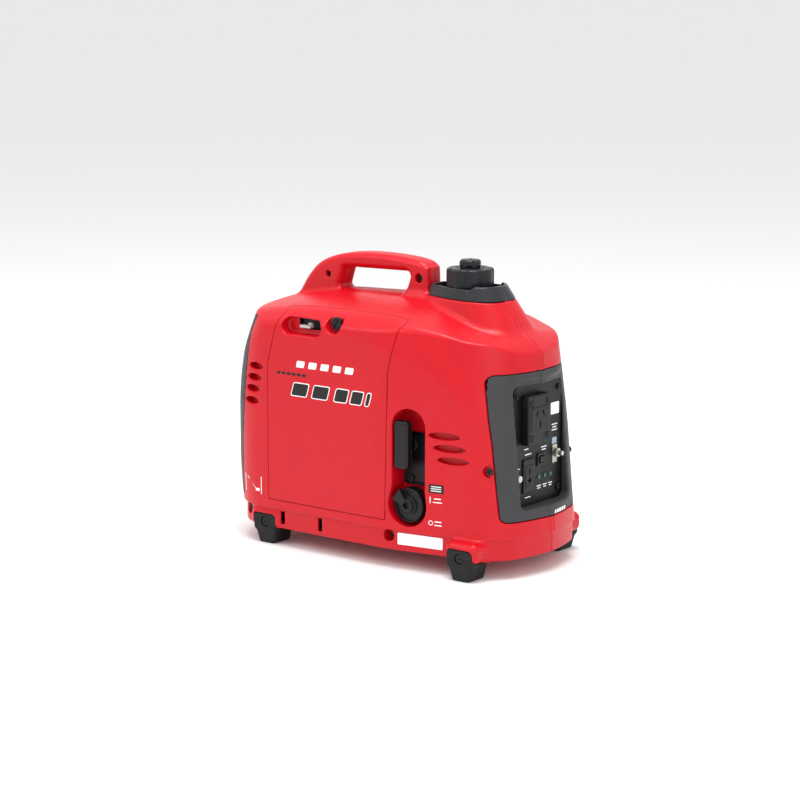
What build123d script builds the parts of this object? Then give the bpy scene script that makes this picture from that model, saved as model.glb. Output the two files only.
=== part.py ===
"""Small portable inverter generator, built as an assembly of separate pieces.

Frame: X runs along the length, +X towards the control panel; Y runs across, -Y is the
side with the maintenance cover and the pull starter; Z is up from the ground at z = 0.
Sizes are millimetres. The two case halves meet at the plane y = 0.
"""
from build123d import *
import os

# ---------------------------------------------------------------- overall sizes
LENGTH = 451.0
WIDTH = 242.0
HANDLE_TOP = 379.0

# ---------------------------------------------------------------- case
WALL = 2.5
GAP = 0.6                # visible gap between neighbouring covers
SLACK = 0.3              # clearance between pieces that are laid together
REAR_X = -LENGTH / 2
FRONT_X = LENGTH / 2
HALF_W = WIDTH / 2
FAR = 400.0              # reach of cutting tools, beyond any piece
BASE_Z = 23.5            # underside of the skirt
LIP_Z = 50.0             # the body steps out over the skirt here
SKIRT_INSET = 4.0
CROWN_Z = 330.0          # top of the case along its middle
FRONT_LEAN = 27.0        # how far the front leans back from the lip to the crown
TAPER_X = 45.0           # the sides run straight behind this and taper ahead of it
FRONT_HALF_W = 96.0
FRONT_BULGE = 24.0
FRONT_ROUND = 3.0        # what the rounded tip of the front falls short of its corner
REAR_CORNER_R = 45.0
FRONT_CORNER_R = 35.0
BEND_Z = 255.0           # above this the sides lean inwards

# ---------------------------------------------------------------- hood around the filler
HOOD_HALF_W = 40.0
HOOD_FOOT_HALF_W = 60.0
HOOD_Z = 334.0
HOOD_FRONT_X = 153.0
HOOD_REAR_X = 2.0
HOOD_FOOT_Z = 250.0
HOOD_FOOT_X = 205.0

# ---------------------------------------------------------------- handle
HANDLE_HALF_W = 17.0
HANDLE_WALL = 3.5
GRIP_BAR = 20.0          # height of the bar over the finger gap
GRIP_GAP_X = (-103.0, 6.0)
GRIP_GAP_R = 9.0
HANDLE_FRONT_X = 38.0
HANDLE_SCREWS = ((-125.0, 347.0), (24.0, 353.0))

# ---------------------------------------------------------------- case screws
SCREW_R = 2.0
SCREW_HEAD_R = 4.5
SCREW_HEAD_T = 3.0
SCREW_WELL_R = 6.2
SKIRT_SCREWS = ((-183.0, 42.0), (53.0, 42.0))
SKIRT_FLOOR_Y = 103.0    # outer face of the seat that a skirt screw clamps
FRONT_SCREW = (187.0, 136.0)
FRONT_FLOOR_Y = 84.0

# ---------------------------------------------------------------- maintenance cover
COVER_X = (-141.0, 50.0)
COVER_Z0 = 62.0
COVER_TOP_X = (-121.0, 68.0)
COVER_EDGE_Y = 93.0      # its top edge lies this far from the middle plane
COVER_LEDGE = 6.0        # width of the seat that the cover lies on
LEDGE_T = 2.0
COVER_PEGS_X = (-100.0, 10.0)
COVER_SCREW = (-33.0, 301.0)
COVER_SCREW_R = 8.5
COVER_DISH_R = 11.0
COVER_DISH_Y = 108.0
CHOKE_SLOT = (-85.0, 296.0, 66.0, 21.0)    # centre x, centre z, length, height
CHOKE_FLOOR_Y = 104.0
CHOKE_WINDOW = (-100.0, -64.0, 288.5, 303.0)
CHOKE_TRAVEL = 14.0
CHOKE_TAB_X = (-87.0, -79.0)
CHOKE_Y = -96.8          # inner face of the choke lever's plate

# ---------------------------------------------------------------- starter pocket
POCKET_X = 82.5
POCKET_R = 23.5
POCKET_TOP_Z = 183.0
POCKET_Y = 90.0          # its floor, from the middle plane
VALVE_X = 80.0
VALVE_Z = 83.0
VALVE_POCKET_R = 28.0
VALVE_R = 22.0
VALVE_FACE_Y = 116.0
VALVE_SHAFT_R = 4.0
ROPE_X = 72.0
ROPE_Z = 157.0
ROPE_R = 1.8
GUIDE_SCREW_Z = 114.0
GRIP_W, GRIP_T, GRIP_H = 22.0, 15.0, 61.0
GRIP_BACK_Y = 103.0

# ---------------------------------------------------------------- filler
CAP_X = 93.0
CAP_R = 30.0
CAP_Z0, CAP_Z1 = 344.5, 371.0
CAP_LOBES = 8
KNOB_R = 14.0
KNOB_Z = 382.0
NECK_R = 24.0
NECK_BORE_R = 20.0
NECK_TOP_Z = 352.0
COLLAR_Z = 347.0
COLLAR_FLOOR = 3.5

# ---------------------------------------------------------------- control panel
PANEL_X = 198.0          # face of the flat panel
PANEL_T = 3.0
WINDOW_HALF_W = 52.0
WINDOW_Z = (84.0, 236.0)
WINDOW_R = 12.0
PANEL_SCREWS_Y = 45.0
PANEL_SCREWS_Z = (97.0, 225.0)
AC_Y, AC_Z = (-36.0, 11.0), (162.0, 224.0)
AC_FACE_X = 211.0
DC_Y, DC_Z = (-32.0, -8.0), (100.0, 143.0)
ECO_Y, ECO_Z = (-1.5, 16.0), (130.0, 146.0)
LAMPS_Y = (3.0, 16.0, 28.5)
LAMPS_Z = 116.0
EARTH_Y, EARTH_Z = 37.0, 142.0
BREAKER_Y, BREAKER_Z = -42.0, 121.0

# ---------------------------------------------------------------- feet
FOOT_XS = (-152.0, 163.5)
FOOT_W = 38.0
FOOT_Z = 40.0
FOOT_D = 40.0
FOOT_Y = 117.5           # outer face
FOOT_UPPER_D = 11.0
FOOT_TOE = 6.0           # how much each side of the foot draws in at the ground
FOOT_BOLT_Z = 29.0
FOOT_BOLT_R = 2.5
FOOT_BOLT_HEAD_R = 5.5
FOOT_WELL_R = 6.5
FOOT_WELL_D = 5.5

# ---------------------------------------------------------------- engine
SHAFT_R = 8.0
ROPE_PITCH_R = 30.0      # radius at which the rope leaves the reel
SHAFT_Z = ROPE_Z - ROPE_PITCH_R
RUNNING = 0.08           # radial clearance of a running fit
CRANK_X = (-80.0, -8.0)
CRANK_HALF_W = 50.0
CRANK_Z = (48.0, 172.0)
CRANK_WALL = 7.0
BEARING_R = 16.0
BEARING_T = 9.0
CYL_X = -45.0
FIN_W = 62.0
FIN_T = 2.0
FIN_PITCH = 5.0
FIN_COUNT = 7
HEAD_Z = (210.0, 232.0)
ROCKER_H = 14.0
DIPSTICK_X, DIPSTICK_Z = -44.0, 78.0
CARB_Z = (206.0, 238.0)
PORT_Z = 222.0
INTAKE_R = 7.0
CLEANER_X = (-80.0, -14.0)
CLEANER_Y = (-111.0, -78.0)
CLEANER_Z = (192.0, 264.0)
PIPE_R = 9.0
MUFFLER_X = (-206.0, -132.0)
MUFFLER_Y = (-48.0, 84.0)
MUFFLER_Z = (62.0, 190.0)
OUTLET_Y, OUTLET_Z, OUTLET_R = 35.0, 95.0, 10.0

# ---------------------------------------------------------------- alternator and fan
ROTOR_R = 62.0
ROTOR_X = (8.0, 44.0)
MAGNET_T = 3.5
STATOR_R = 52.0
STATOR_X = (10.0, 34.0)
STATOR_BORE_R = 22.0
POLES = 12
FAN_R = 72.0
FAN_X = (44.0, 56.0)
BLADES = 14
FAN_COVER_R = 82.0
FAN_COVER_X = (-8.0, 59.0)
FAN_INLET_R = 42.0
REEL_X = (66.0, 78.0)
REEL_R = 34.0
REEL_POST_R = 5.0
STARTER_X = (64.0, 83.0)
STARTER_R = 50.0

# ---------------------------------------------------------------- tank, inverter, tray
TANK_X = (-6.0, 142.0)
TANK_HALF_W = 86.0
TANK_Z = (214.0, 288.0)
COCK_Y = (-84.0, -62.0)
HOSE_R, HOSE_BORE_R = 4.5, 2.5
INVERTER_X = (106.0, 162.0)
INVERTER_HALF_W = 70.0
INVERTER_Z = (40.0, 188.0)
TRAY_Z = BASE_Z + WALL + SLACK
TRAY_T = 2.5
TRAY_X = (-190.0, 175.0)
TRAY_HALF_W = 82.0
MOUNT_R = 9.0

os.makedirs("parts", exist_ok=True)


def keep(name, piece):
    """Label a finished piece and write it to its own file."""
    piece.part.label = name
    export_step(piece.part, f"parts/{name}.step")


def side_plane(y):
    """Upright plane at y, seen from -Y: local x is +X, local y is +Z, out is -Y."""
    return Plane(origin=(0, y, 0), x_dir=(1, 0, 0), z_dir=(0, -1, 0))


def panel_plane(x):
    """Upright plane at x, seen from +X: local x is +Y, local y is +Z, out is +X."""
    return Plane(origin=(x, 0, 0), x_dir=(0, 1, 0), z_dir=(1, 0, 0))


def block(x, y, z, radius=0, edges=Axis.Z):
    """A box between pairs of limits, with the edges along one axis rounded."""
    with BuildPart() as box:
        with Locations(((x[0] + x[1]) / 2, (y[0] + y[1]) / 2, (z[0] + z[1]) / 2)):
            Box(x[1] - x[0], y[1] - y[0], z[1] - z[0])
        if radius:
            fillet(box.edges().filter_by(edges), radius)
    return box.part


def rod(plane, x, y, radius, length):
    """A round bar that starts on a plane at its local x, y and runs out along its normal."""
    with BuildPart() as bar:
        with BuildSketch(plane):
            with Locations((x, y)):
                Circle(radius)
        extrude(amount=length)
    return bar.part


def ring(plane, x, y, outer_r, inner_r, length):
    """A tube on a plane."""
    with BuildPart() as tube:
        with BuildSketch(plane):
            with Locations((x, y)):
                Circle(outer_r)
                Circle(inner_r, mode=Mode.SUBTRACT)
        extrude(amount=length)
    return tube.part


# ================================================================ outer form
def plan_outline(z, inset):
    """Plan of the case at height z; the front leans back with height."""
    rise = (z - LIP_Z) / (CROWN_Z - LIP_Z)
    front = FRONT_X + FRONT_ROUND - FRONT_LEAN * rise
    corner = front - FRONT_BULGE
    with BuildSketch(Plane.XY.offset(z)) as outline:
        with BuildLine():
            Polyline(
                (REAR_X, -HALF_W), (TAPER_X, -HALF_W), (corner, -FRONT_HALF_W), (front, 0),
                (corner, FRONT_HALF_W), (TAPER_X, HALF_W), (REAR_X, HALF_W), close=True,
            )
        make_face()
        fillet(outline.vertices().sort_by(Axis.X)[:2], REAR_CORNER_R)
        fillet(outline.vertices().sort_by(Axis.X)[-1:], 100)
        tips = [v for v in outline.vertices()
                if abs(v.X - corner) < 0.01 and abs(abs(v.Y) - FRONT_HALF_W) < 0.01]
        fillet(tips, FRONT_CORNER_R)
        if inset:
            offset(amount=-inset, mode=Mode.REPLACE)
    return outline.sketch


def side_outline(inset):
    """Side view of the case without skirt, hood and handle."""
    with BuildSketch(Plane.XZ) as outline:
        with BuildLine():
            Polyline(
                (REAR_X, 0), (REAR_X, 262), (REAR_X + 17, 304), (-160, 320), (-60, 328),
                (50, 327), (150, 302), (203, 262), (FRONT_X + 40, 190), (FRONT_X + 40, 0),
                close=True,
            )
        make_face()
        fillet([v for v in outline.vertices() if v.Z > 250], 16)
        if inset:
            offset(amount=-inset, kind=Kind.INTERSECTION, mode=Mode.REPLACE)
    return outline.sketch


def end_outline(inset):
    """View along X: upright sides, a lean above the bend, and a crowned top."""
    top = ((112, 304), (96, 318), (50, 326))
    with BuildSketch(Plane.YZ) as outline:
        with BuildLine():
            Polyline(
                (-HALF_W, 0), (-HALF_W, BEND_Z), *[(-y, z) for y, z in top], (0, CROWN_Z),
                *reversed(top), (HALF_W, BEND_Z), (HALF_W, 0), close=True,
            )
        make_face()
        fillet([v for v in outline.vertices() if v.Z > 250], 14)
        if inset:
            offset(amount=-inset, kind=Kind.INTERSECTION, mode=Mode.REPLACE)
    return outline.sketch


def hood_level(z, half_w, front, inset, rear=HOOD_REAR_X):
    """Plan of the hood at height z, with a rounded front."""
    with BuildSketch(Plane.XY.offset(z)) as outline:
        with BuildLine():
            Polyline((rear, -half_w), (front, -half_w), (front, half_w), (rear, half_w),
                     close=True)
        make_face()
        fillet(outline.vertices().sort_by(Axis.X)[-2:], half_w * 0.75)
        fillet(outline.vertices().sort_by(Axis.X)[:2], 6)
        if inset:
            offset(amount=-inset, mode=Mode.REPLACE)
    return outline.sketch


def hood(inset):
    """The raised middle of the top, which slopes down to the panel at the front."""
    with BuildPart() as rise:
        add(hood_level(HOOD_FOOT_Z, HOOD_FOOT_HALF_W, HOOD_FOOT_X, inset))
        add(hood_level(HOOD_Z - inset, HOOD_HALF_W, HOOD_FRONT_X, inset))
        loft(ruled=True)
    return rise.part


def case_body(inset):
    """Everything red below the handle: skirt, body and hood, shrunk by inset."""
    with BuildPart() as body:
        add(plan_outline(LIP_Z + inset, inset))
        add(plan_outline(CROWN_Z + 10, inset))
        loft(ruled=True)
        extrude(side_outline(inset), amount=HALF_W + 20, both=True, mode=Mode.INTERSECT)
        extrude(end_outline(inset), amount=LENGTH, both=True, mode=Mode.INTERSECT)
        add(hood(inset))
        extrude(plan_outline(BASE_Z + inset, SKIRT_INSET + inset), amount=LIP_Z - BASE_Z + 1)
    return body.part


def handle(inset, half_w):
    """Carrying handle: an arch along X with a finger gap under its bar."""
    x0, x1 = GRIP_GAP_X
    top = HANDLE_TOP
    with BuildPart() as arch:
        with BuildSketch(Plane.XZ) as side:
            with BuildLine():
                Polyline((-186, 296), (-162, 345), (-140, 364), (-108, top - 4), (-68, top),
                         (-18, top), (24, top - 4), (HANDLE_FRONT_X - 2, top - 12),
                         (HANDLE_FRONT_X, 296), close=True)
            make_face()
            fillet([v for v in side.vertices() if v.Z > 330], 9)
            with BuildSketch(mode=Mode.SUBTRACT) as gap:
                with BuildLine():
                    Polyline((x0 - 2, 331), (x0 + 2, top - GRIP_BAR), (x1, top - GRIP_BAR),
                             (x1 - 5, 333), close=True)
                make_face()
                fillet(gap.vertices(), GRIP_GAP_R)
            if inset:
                offset(amount=-inset, kind=Kind.INTERSECTION, mode=Mode.REPLACE)
        extrude(amount=half_w, both=True)
        if not inset:
            rims = arch.faces().filter_by(Axis.Y)
            outer_wires = [w for f in rims for w in f.wires()]
            fillet([e for w in outer_wires for e in w.edges() if e.center().Z > 328], 6)
    return arch.part


case = case_body(0)
cavity = case_body(WALL)
seat_top = case_body(WALL + SLACK)
seat_under = case_body(WALL + SLACK + LEDGE_T)
body_shell = (case + handle(0, HANDLE_HALF_W)) - cavity - handle(HANDLE_WALL, HANDLE_HALF_W - 3)
skin = case - cavity


# ================================================================ regions of the skin
def rear_region(grow):
    """What belongs to the rear cover."""
    with BuildPart() as region:
        with BuildSketch(Plane.XZ):
            with BuildLine():
                Polyline((-FAR, 60), (-193, 60), (-192, 130), (-182, 222), (-178, 278),
                         (-170, 298), (-FAR, 298), close=True)
            make_face()
            if grow:
                offset(amount=grow, kind=Kind.INTERSECTION, mode=Mode.REPLACE)
        extrude(amount=FAR, both=True)
    return region.part


def bezel_region(grow):
    """What belongs to the dark bezel around the control panel."""
    with BuildPart() as region:
        with BuildSketch(Plane.XZ) as outline:
            with BuildLine():
                Polyline((180, 258), (182, 240), (185, 211), (191, 167), (195, 129), (200, 71),
                         (FAR, 66), (FAR, 258), close=True)
            make_face()
            near = [v for v in outline.vertices() if v.X < 210 and not 80 < v.Z < 250]
            fillet(near, 9)
            if grow:
                offset(amount=grow, kind=Kind.INTERSECTION, mode=Mode.REPLACE)
        extrude(amount=FAR, both=True)
    return region.part


def cover_region(grow):
    """What belongs to the maintenance cover."""
    x0, x1 = COVER_X
    t0, t1 = COVER_TOP_X
    with BuildPart() as region:
        with BuildSketch(side_plane(-COVER_EDGE_Y + grow)) as outline:
            with BuildLine():
                Polyline((x0, COVER_Z0), (x1, COVER_Z0), (x1 + 4, 248), (t1, 311), (t1, 340),
                         (t0, 340), (t0 - 3, 302), (x0, 240), close=True)
            make_face()
            fillet([v for v in outline.vertices() if v.Z < 100], 8)
            if grow:
                offset(amount=grow, kind=Kind.INTERSECTION, mode=Mode.REPLACE)
        extrude(amount=FAR)
    return region.part


def keyhole(grow, depth_y):
    """Starter pocket: a tall slot that runs into a round at its foot, cut out to -Y."""
    with BuildPart() as shape:
        with BuildSketch(side_plane(-depth_y)):
            with Locations((VALVE_X, VALVE_Z)):
                Circle(VALVE_POCKET_R + grow)
            with Locations((POCKET_X, POCKET_TOP_Z)):
                Circle(POCKET_R + grow)
            with Locations((POCKET_X, (POCKET_TOP_Z + VALVE_Z) / 2)):
                Rectangle(2 * (POCKET_R + grow), POCKET_TOP_Z - VALVE_Z)
        extrude(amount=FAR)
    return shape.part


def choke_recess(floor_y, grow):
    """Long recess in the maintenance cover around the choke window."""
    x, z, length, height = CHOKE_SLOT
    with BuildPart() as shape:
        with BuildSketch(side_plane(-floor_y)):
            with Locations((x, z)):
                SlotOverall(length + 2 * grow, height + 2 * grow)
        extrude(amount=FAR)
    return shape.part


def louvres(side):
    """Lens-shaped air slots low on the front and high on the rear of one side."""
    front = ((131, 176), (138, 161), (143, 146))
    rear = ((-166, 235), (-169, 220), (-172, 205), (-174, 189))
    with BuildPart() as slots:
        for places, length in ((front, 42), (rear, 25)):
            with BuildSketch(Plane.XZ):
                with Locations(*places):
                    Ellipse(length / 2, 4.4)
            extrude(amount=-side * FAR)
    return slots.part


def across(side, y=0.0):
    """Upright plane whose normal points outwards on one side; local y is -side * Z."""
    return Plane(origin=(0, side * y, 0), x_dir=(1, 0, 0), z_dir=(0, side, 0))


def cross_rod(side, x, z, radius, y0, y1):
    """A round bar along Y on one side, between two distances from the middle."""
    return rod(across(side, y0), x, -side * z, radius, y1 - y0)


def foot_fender(side, x):
    """The bulge of the skirt that a foot is bolted into."""
    half = FOOT_W / 2 + SLACK + WALL
    y = sorted((side * 70, side * FOOT_Y))
    return block((x - half, x + half), y, (BASE_Z, FOOT_Z + SLACK + WALL), 4, Axis.Y)


def foot_hollows(side, x):
    """The outer hollow that holds the foot and the inner one that the tray reaches into."""
    half = FOOT_W / 2 + SLACK
    back = FOOT_Y - FOOT_UPPER_D - SLACK
    outer_y = sorted((side * back, side * FAR))
    inner_y = sorted((side * 60, side * (back - WALL)))
    outer = block((x - half, x + half), outer_y, (0, FOOT_Z + SLACK), 5, Axis.Y)
    inner = block((x - half, x + half), inner_y, (BASE_Z + WALL, FOOT_Z))
    return outer + inner + cross_rod(side, x, FOOT_BOLT_Z, FOOT_BOLT_R + SLACK, 60, FAR)


def common_shell(side):
    """One half of the case with everything that both halves have."""
    with BuildPart() as shell:
        add(body_shell)
        with BuildSketch():
            with Locations((0, side * FAR / 2)):
                Rectangle(2 * FAR, FAR)
        extrude(amount=FAR, mode=Mode.INTERSECT)
        for x, z, seat_y in (*[(x, z, SKIRT_FLOOR_Y) for x, z in SKIRT_SCREWS],
                             (*FRONT_SCREW, FRONT_FLOOR_Y)):
            add(cross_rod(side, x, z, SCREW_WELL_R + 2.2, seat_y - WALL, FAR) & case)
            add(cross_rod(side, x, z, SCREW_WELL_R, seat_y, FAR), mode=Mode.SUBTRACT)
            add(cross_rod(side, x, z, SCREW_R + SLACK, seat_y - 10, FAR), mode=Mode.SUBTRACT)
        for x in FOOT_XS:
            add(foot_fender(side, x) - cavity)
            add(foot_hollows(side, x), mode=Mode.SUBTRACT)
        for region in (louvres(side), rear_region(GAP), bezel_region(GAP)):
            add(region, mode=Mode.SUBTRACT)
        add(rod(Plane.XY.offset(HOOD_Z - 20), CAP_X, 0, NECK_R + 3, 40), mode=Mode.SUBTRACT)
        for x, z in HANDLE_SCREWS:
            add(cross_rod(side, x, z, 7.5, 0, HANDLE_HALF_W - 2))
            add(cross_rod(side, x, z, SCREW_R, 0, HANDLE_HALF_W - 4), mode=Mode.SUBTRACT)
        for x in (-121, -58):
            notch = block((x - 4, x + 4), sorted((side * 115, side * FAR)), (31, LIP_Z - 2))
            add(notch, mode=Mode.SUBTRACT)
    return shell.part


# ================================================================ right case half
with BuildPart() as right_shell:
    add(common_shell(1).solids().sort_by(SortBy.VOLUME)[-1])
keep("right_shell", right_shell)

# ================================================================ maintenance cover
wx0, wx1, wz0, wz1 = CHOKE_WINDOW
screw_x, screw_z = COVER_SCREW
with BuildPart() as cover_form:
    add(skin & cover_region(-GAP))
    add(choke_recess(CHOKE_FLOOR_Y - 2, 2) & case)
    add(cross_rod(-1, screw_x, screw_z, COVER_DISH_R + 2, COVER_DISH_Y - 2, FAR) & case)
    add(choke_recess(CHOKE_FLOOR_Y, 0), mode=Mode.SUBTRACT)
    add(cross_rod(-1, screw_x, screw_z, COVER_DISH_R, COVER_DISH_Y, FAR), mode=Mode.SUBTRACT)
    add(block((wx0, wx1), (-FAR, 0), (wz0, wz1), 2, Axis.Y), mode=Mode.SUBTRACT)
    add(cross_rod(-1, screw_x, screw_z, 3 + SLACK, 0, FAR), mode=Mode.SUBTRACT)
    for x in COVER_PEGS_X:
        add(cross_rod(-1, x, COVER_Z0 + 3.5, 2, HALF_W - WALL - 8, HALF_W - 1))

with BuildPart() as maintenance_cover:
    add(cover_form.part.solids().sort_by(SortBy.VOLUME)[-1])
keep("maintenance_cover", maintenance_cover)

# ================================================================ left case half
with BuildPart() as cover_seat:
    add((cavity - seat_under) & (cover_region(4) - cover_region(-COVER_LEDGE)))
    add((cavity - seat_top) & cover_region(0), mode=Mode.SUBTRACT)

with BuildPart() as left_half:
    add(common_shell(-1))
    for x, z in HANDLE_SCREWS:
        add(cross_rod(-1, x, z, 5, 9, FAR), mode=Mode.SUBTRACT)
        add(cross_rod(-1, x, z, SCREW_R + SLACK, 0, FAR), mode=Mode.SUBTRACT)
    add(cover_region(0), mode=Mode.SUBTRACT)
    add(cover_seat.part)
    add(choke_recess(CHOKE_FLOOR_Y - 2 - SLACK, 2 + SLACK), mode=Mode.SUBTRACT)
    add(keyhole(WALL, POCKET_Y - WALL) & case)
    add(keyhole(0, POCKET_Y), mode=Mode.SUBTRACT)
    add(cross_rod(-1, ROPE_X, ROPE_Z, 9.5, 0, FAR), mode=Mode.SUBTRACT)
    add(cross_rod(-1, VALVE_X, VALVE_Z, VALVE_SHAFT_R + 1, 0, FAR), mode=Mode.SUBTRACT)
    add(block((screw_x - 10, screw_x + 10), (-103, -80), (290, FAR)) & seat_top)
    add(cross_rod(-1, screw_x, screw_z, 3 + RUNNING, 85, FAR), mode=Mode.SUBTRACT)
    for x in COVER_PEGS_X:
        add(cross_rod(-1, x, COVER_Z0 + 3.5, 2 + SLACK, 90, FAR), mode=Mode.SUBTRACT)
    add(cross_rod(-1, ROPE_X, GUIDE_SCREW_Z, SCREW_R, 60, FAR), mode=Mode.SUBTRACT)
    add(maintenance_cover.part, mode=Mode.SUBTRACT)

with BuildPart() as left_shell:
    add(left_half.part.solids().sort_by(SortBy.VOLUME)[-1])
keep("left_shell", left_shell)

with BuildPart() as cover_screw:
    add(cross_rod(-1, screw_x, screw_z, COVER_SCREW_R, COVER_DISH_Y + SLACK, COVER_DISH_Y + 5))
    fillet(cover_screw.faces().sort_by(Axis.Y)[0].edges(), 1)
    with BuildSketch(side_plane(-COVER_DISH_Y - 3)):
        with Locations(COVER_SCREW):
            Rectangle(COVER_SCREW_R * 2 - 3, 2, rotation=60)
    extrude(amount=5, mode=Mode.SUBTRACT)
    add(cross_rod(-1, screw_x, screw_z, 3, 88, COVER_DISH_Y + 1))
keep("cover_screw", cover_screw)

# The choke lever slides along X between the two rails of the air cleaner's bracket.
with BuildPart() as choke_lever:
    add(block((wx0 - 3, wx1 + 3), (CHOKE_Y - 2, CHOKE_Y), (285, 305)))
    add(block(CHOKE_TAB_X, (CHOKE_Y - 12, CHOKE_Y - 1), (289.5, 295), 1.5, Axis.Y))
keep("choke_lever", choke_lever)

with BuildPart() as choke_bracket:
    bracket_x = (wx0 - 6, wx1 + CHOKE_TRAVEL + 6)
    back_y = (CHOKE_Y + SLACK, CHOKE_Y + SLACK + 2)
    add(block(bracket_x, back_y, (281, 309)))
    for rail_z in ((281, 284.7), (305.3, 309)):
        add(block(bracket_x, (CHOKE_Y - 2.4, back_y[1]), rail_z))
    add(block((-75, -60), back_y, (CLEANER_Z[1] - 1, 282)))

# ================================================================ rear cover
with BuildPart() as rear_form:
    add(skin & rear_region(-GAP / 2))
    with BuildSketch(panel_plane(REAR_X - 10)):
        with GridLocations(1, 13, 1, 10):
            with Locations((0, 209)):
                SlotOverall(120, 5.5)
        with Locations((OUTLET_Y, OUTLET_Z)):
            Circle(OUTLET_R + 7)
    extrude(amount=40, mode=Mode.SUBTRACT)

with BuildPart() as rear_cover:
    add(rear_form.part.solids().sort_by(SortBy.VOLUME)[-1])
keep("rear_cover", rear_cover)

# ================================================================ bezel and panel
tube_half = WINDOW_HALF_W + WALL
frame_z = (WINDOW_Z[0] - WALL, WINDOW_Z[1] + WALL)
lug_x = (FRONT_SCREW[0] - 7, PANEL_X + 5)
lug_z = (FRONT_SCREW[1] - 7, FRONT_SCREW[1] + 7)
WINDOW = ((-WINDOW_HALF_W, WINDOW_HALF_W), WINDOW_Z)
with BuildPart() as bezel_form:
    add(skin & bezel_region(-GAP / 2))
    add(block((PANEL_X, FAR), (-tube_half, tube_half), frame_z, WINDOW_R, Axis.X) & case)
    for side in (-1, 1):
        inner_y = sorted((side * (tube_half - 1), side * (tube_half + 4)))
        outer_y = sorted((side * (tube_half + SLACK), side * (FRONT_FLOOR_Y - WALL - SLACK)))
        add(block((PANEL_X, lug_x[1]), inner_y, lug_z) & seat_top)
        add(block(lug_x, outer_y, lug_z) & seat_top)
        add(cross_rod(side, *FRONT_SCREW, SCREW_R, 60, FAR), mode=Mode.SUBTRACT)
    add(block((0, FAR), *WINDOW, WINDOW_R - WALL, Axis.X), mode=Mode.SUBTRACT)

with BuildPart() as control_bezel:
    add(bezel_form.part.solids().sort_by(SortBy.VOLUME)[-1])
    panel_seat = (PANEL_X - PANEL_T - SLACK, PANEL_X - 0.05)
    add(block(panel_seat, (-tube_half - 1, tube_half + 1), (frame_z[0] - 1, frame_z[1] + 1),
              WINDOW_R, Axis.X), mode=Mode.SUBTRACT)
keep("control_bezel", control_bezel)

corners = [(side * PANEL_SCREWS_Y, z) for side in (-1, 1) for z in PANEL_SCREWS_Z]
FACE_PIECES = ((AC_Y, AC_Z), (DC_Y, DC_Z), (ECO_Y, ECO_Z))
with BuildPart() as control_panel:
    add(block((PANEL_X - PANEL_T, PANEL_X), (-tube_half, tube_half), frame_z, WINDOW_R, Axis.X))
    add(seat_top + block((0, FAR), *WINDOW, WINDOW_R - WALL + SLACK, Axis.X), mode=Mode.INTERSECT)
    with BuildSketch(panel_plane(PANEL_X)):
        for (y0, y1), (z0, z1) in FACE_PIECES:
            with Locations(((y0 + y1) / 2, (z0 + z1) / 2)):
                Rectangle(y1 - y0 - 4, z1 - z0 - 4)
        with Locations(*[(y, LAMPS_Z) for y in LAMPS_Y]):
            Circle(2.5 + SLACK)
        with Locations((EARTH_Y, EARTH_Z)):
            Circle(3 + SLACK)
        with Locations((BREAKER_Y, BREAKER_Z)):
            Circle(4 + SLACK)
        with Locations(*corners):
            Circle(SCREW_R + SLACK)
    extrude(amount=-PANEL_T, mode=Mode.SUBTRACT)
keep("control_panel", control_panel)


def face_body(y, z, out, back):
    """A body that sits on the panel over its cutout and reaches back through it."""
    trim = 2 + SLACK
    with BuildPart() as piece:
        add(block((PANEL_X, PANEL_X + out), y, z, 2, Axis.X))
        inside = ((y[0] + trim, y[1] - trim), (z[0] + trim, z[1] - trim))
        add(block((PANEL_X - back, PANEL_X), *inside))
    return piece.part


ac_mid_y = (AC_Y[0] + AC_Y[1]) / 2
ac_x = AC_FACE_X
with BuildPart() as ac_outlet:
    add(face_body(AC_Y, AC_Z, AC_FACE_X - PANEL_X, 24))
    for side in (-1, 1):
        with BuildSketch(panel_plane(AC_FACE_X)):
            with Locations((ac_mid_y + side * 6.4, 201)):
                Rectangle(1.9, 7.5, rotation=side * 30)
        extrude(amount=-16, mode=Mode.SUBTRACT)
    with BuildSketch(panel_plane(AC_FACE_X)):
        with Locations((ac_mid_y, 187)):
            Rectangle(1.9, 8.5)
    extrude(amount=-16, mode=Mode.SUBTRACT)
keep("ac_outlet", ac_outlet)

dc_mid_y = (DC_Y[0] + DC_Y[1]) / 2
with BuildPart() as dc_outlet:
    add(face_body(DC_Y, DC_Z, 3, 22))
    with BuildSketch(panel_plane(PANEL_X + 3)):
        with Locations((dc_mid_y, 129)):
            Rectangle(2, 8)
        with Locations((dc_mid_y, 117)):
            Rectangle(8, 2)
            Rectangle(2, 8)
    extrude(amount=-16, mode=Mode.SUBTRACT)
keep("dc_outlet", dc_outlet)

ROCKER_Y = (ECO_Y[0] + 4, ECO_Y[1] - 4)
ROCKER_Z = (ECO_Z[0] + 4, ECO_Z[1] - 4)
with BuildPart() as eco_switch_housing:
    add(face_body(ECO_Y, ECO_Z, 2, 14))
    cut_y = (ROCKER_Y[0] - SLACK, ROCKER_Y[1] + SLACK)
    cut_z = (ROCKER_Z[0] - 1, ROCKER_Z[1] + 1)
    add(block((PANEL_X - 10, FAR), cut_y, cut_z), mode=Mode.SUBTRACT)
    eco_mid_z = (ECO_Z[0] + ECO_Z[1]) / 2
    add(rod(side_plane(ECO_Y[1] - 2.5), PANEL_X - 2, eco_mid_z, 1.5, 12.5), mode=Mode.SUBTRACT)
keep("eco_switch_housing", eco_switch_housing)

with BuildPart() as eco_rocker:
    add(block((PANEL_X - 4, PANEL_X + 3.5), ROCKER_Y, ROCKER_Z, 1, Axis.Y))
    add(rod(side_plane(ECO_Y[1] - 2.7), PANEL_X - 2, eco_mid_z, 1.5 - RUNNING, 12.1))
keep("eco_rocker", eco_rocker)

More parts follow.
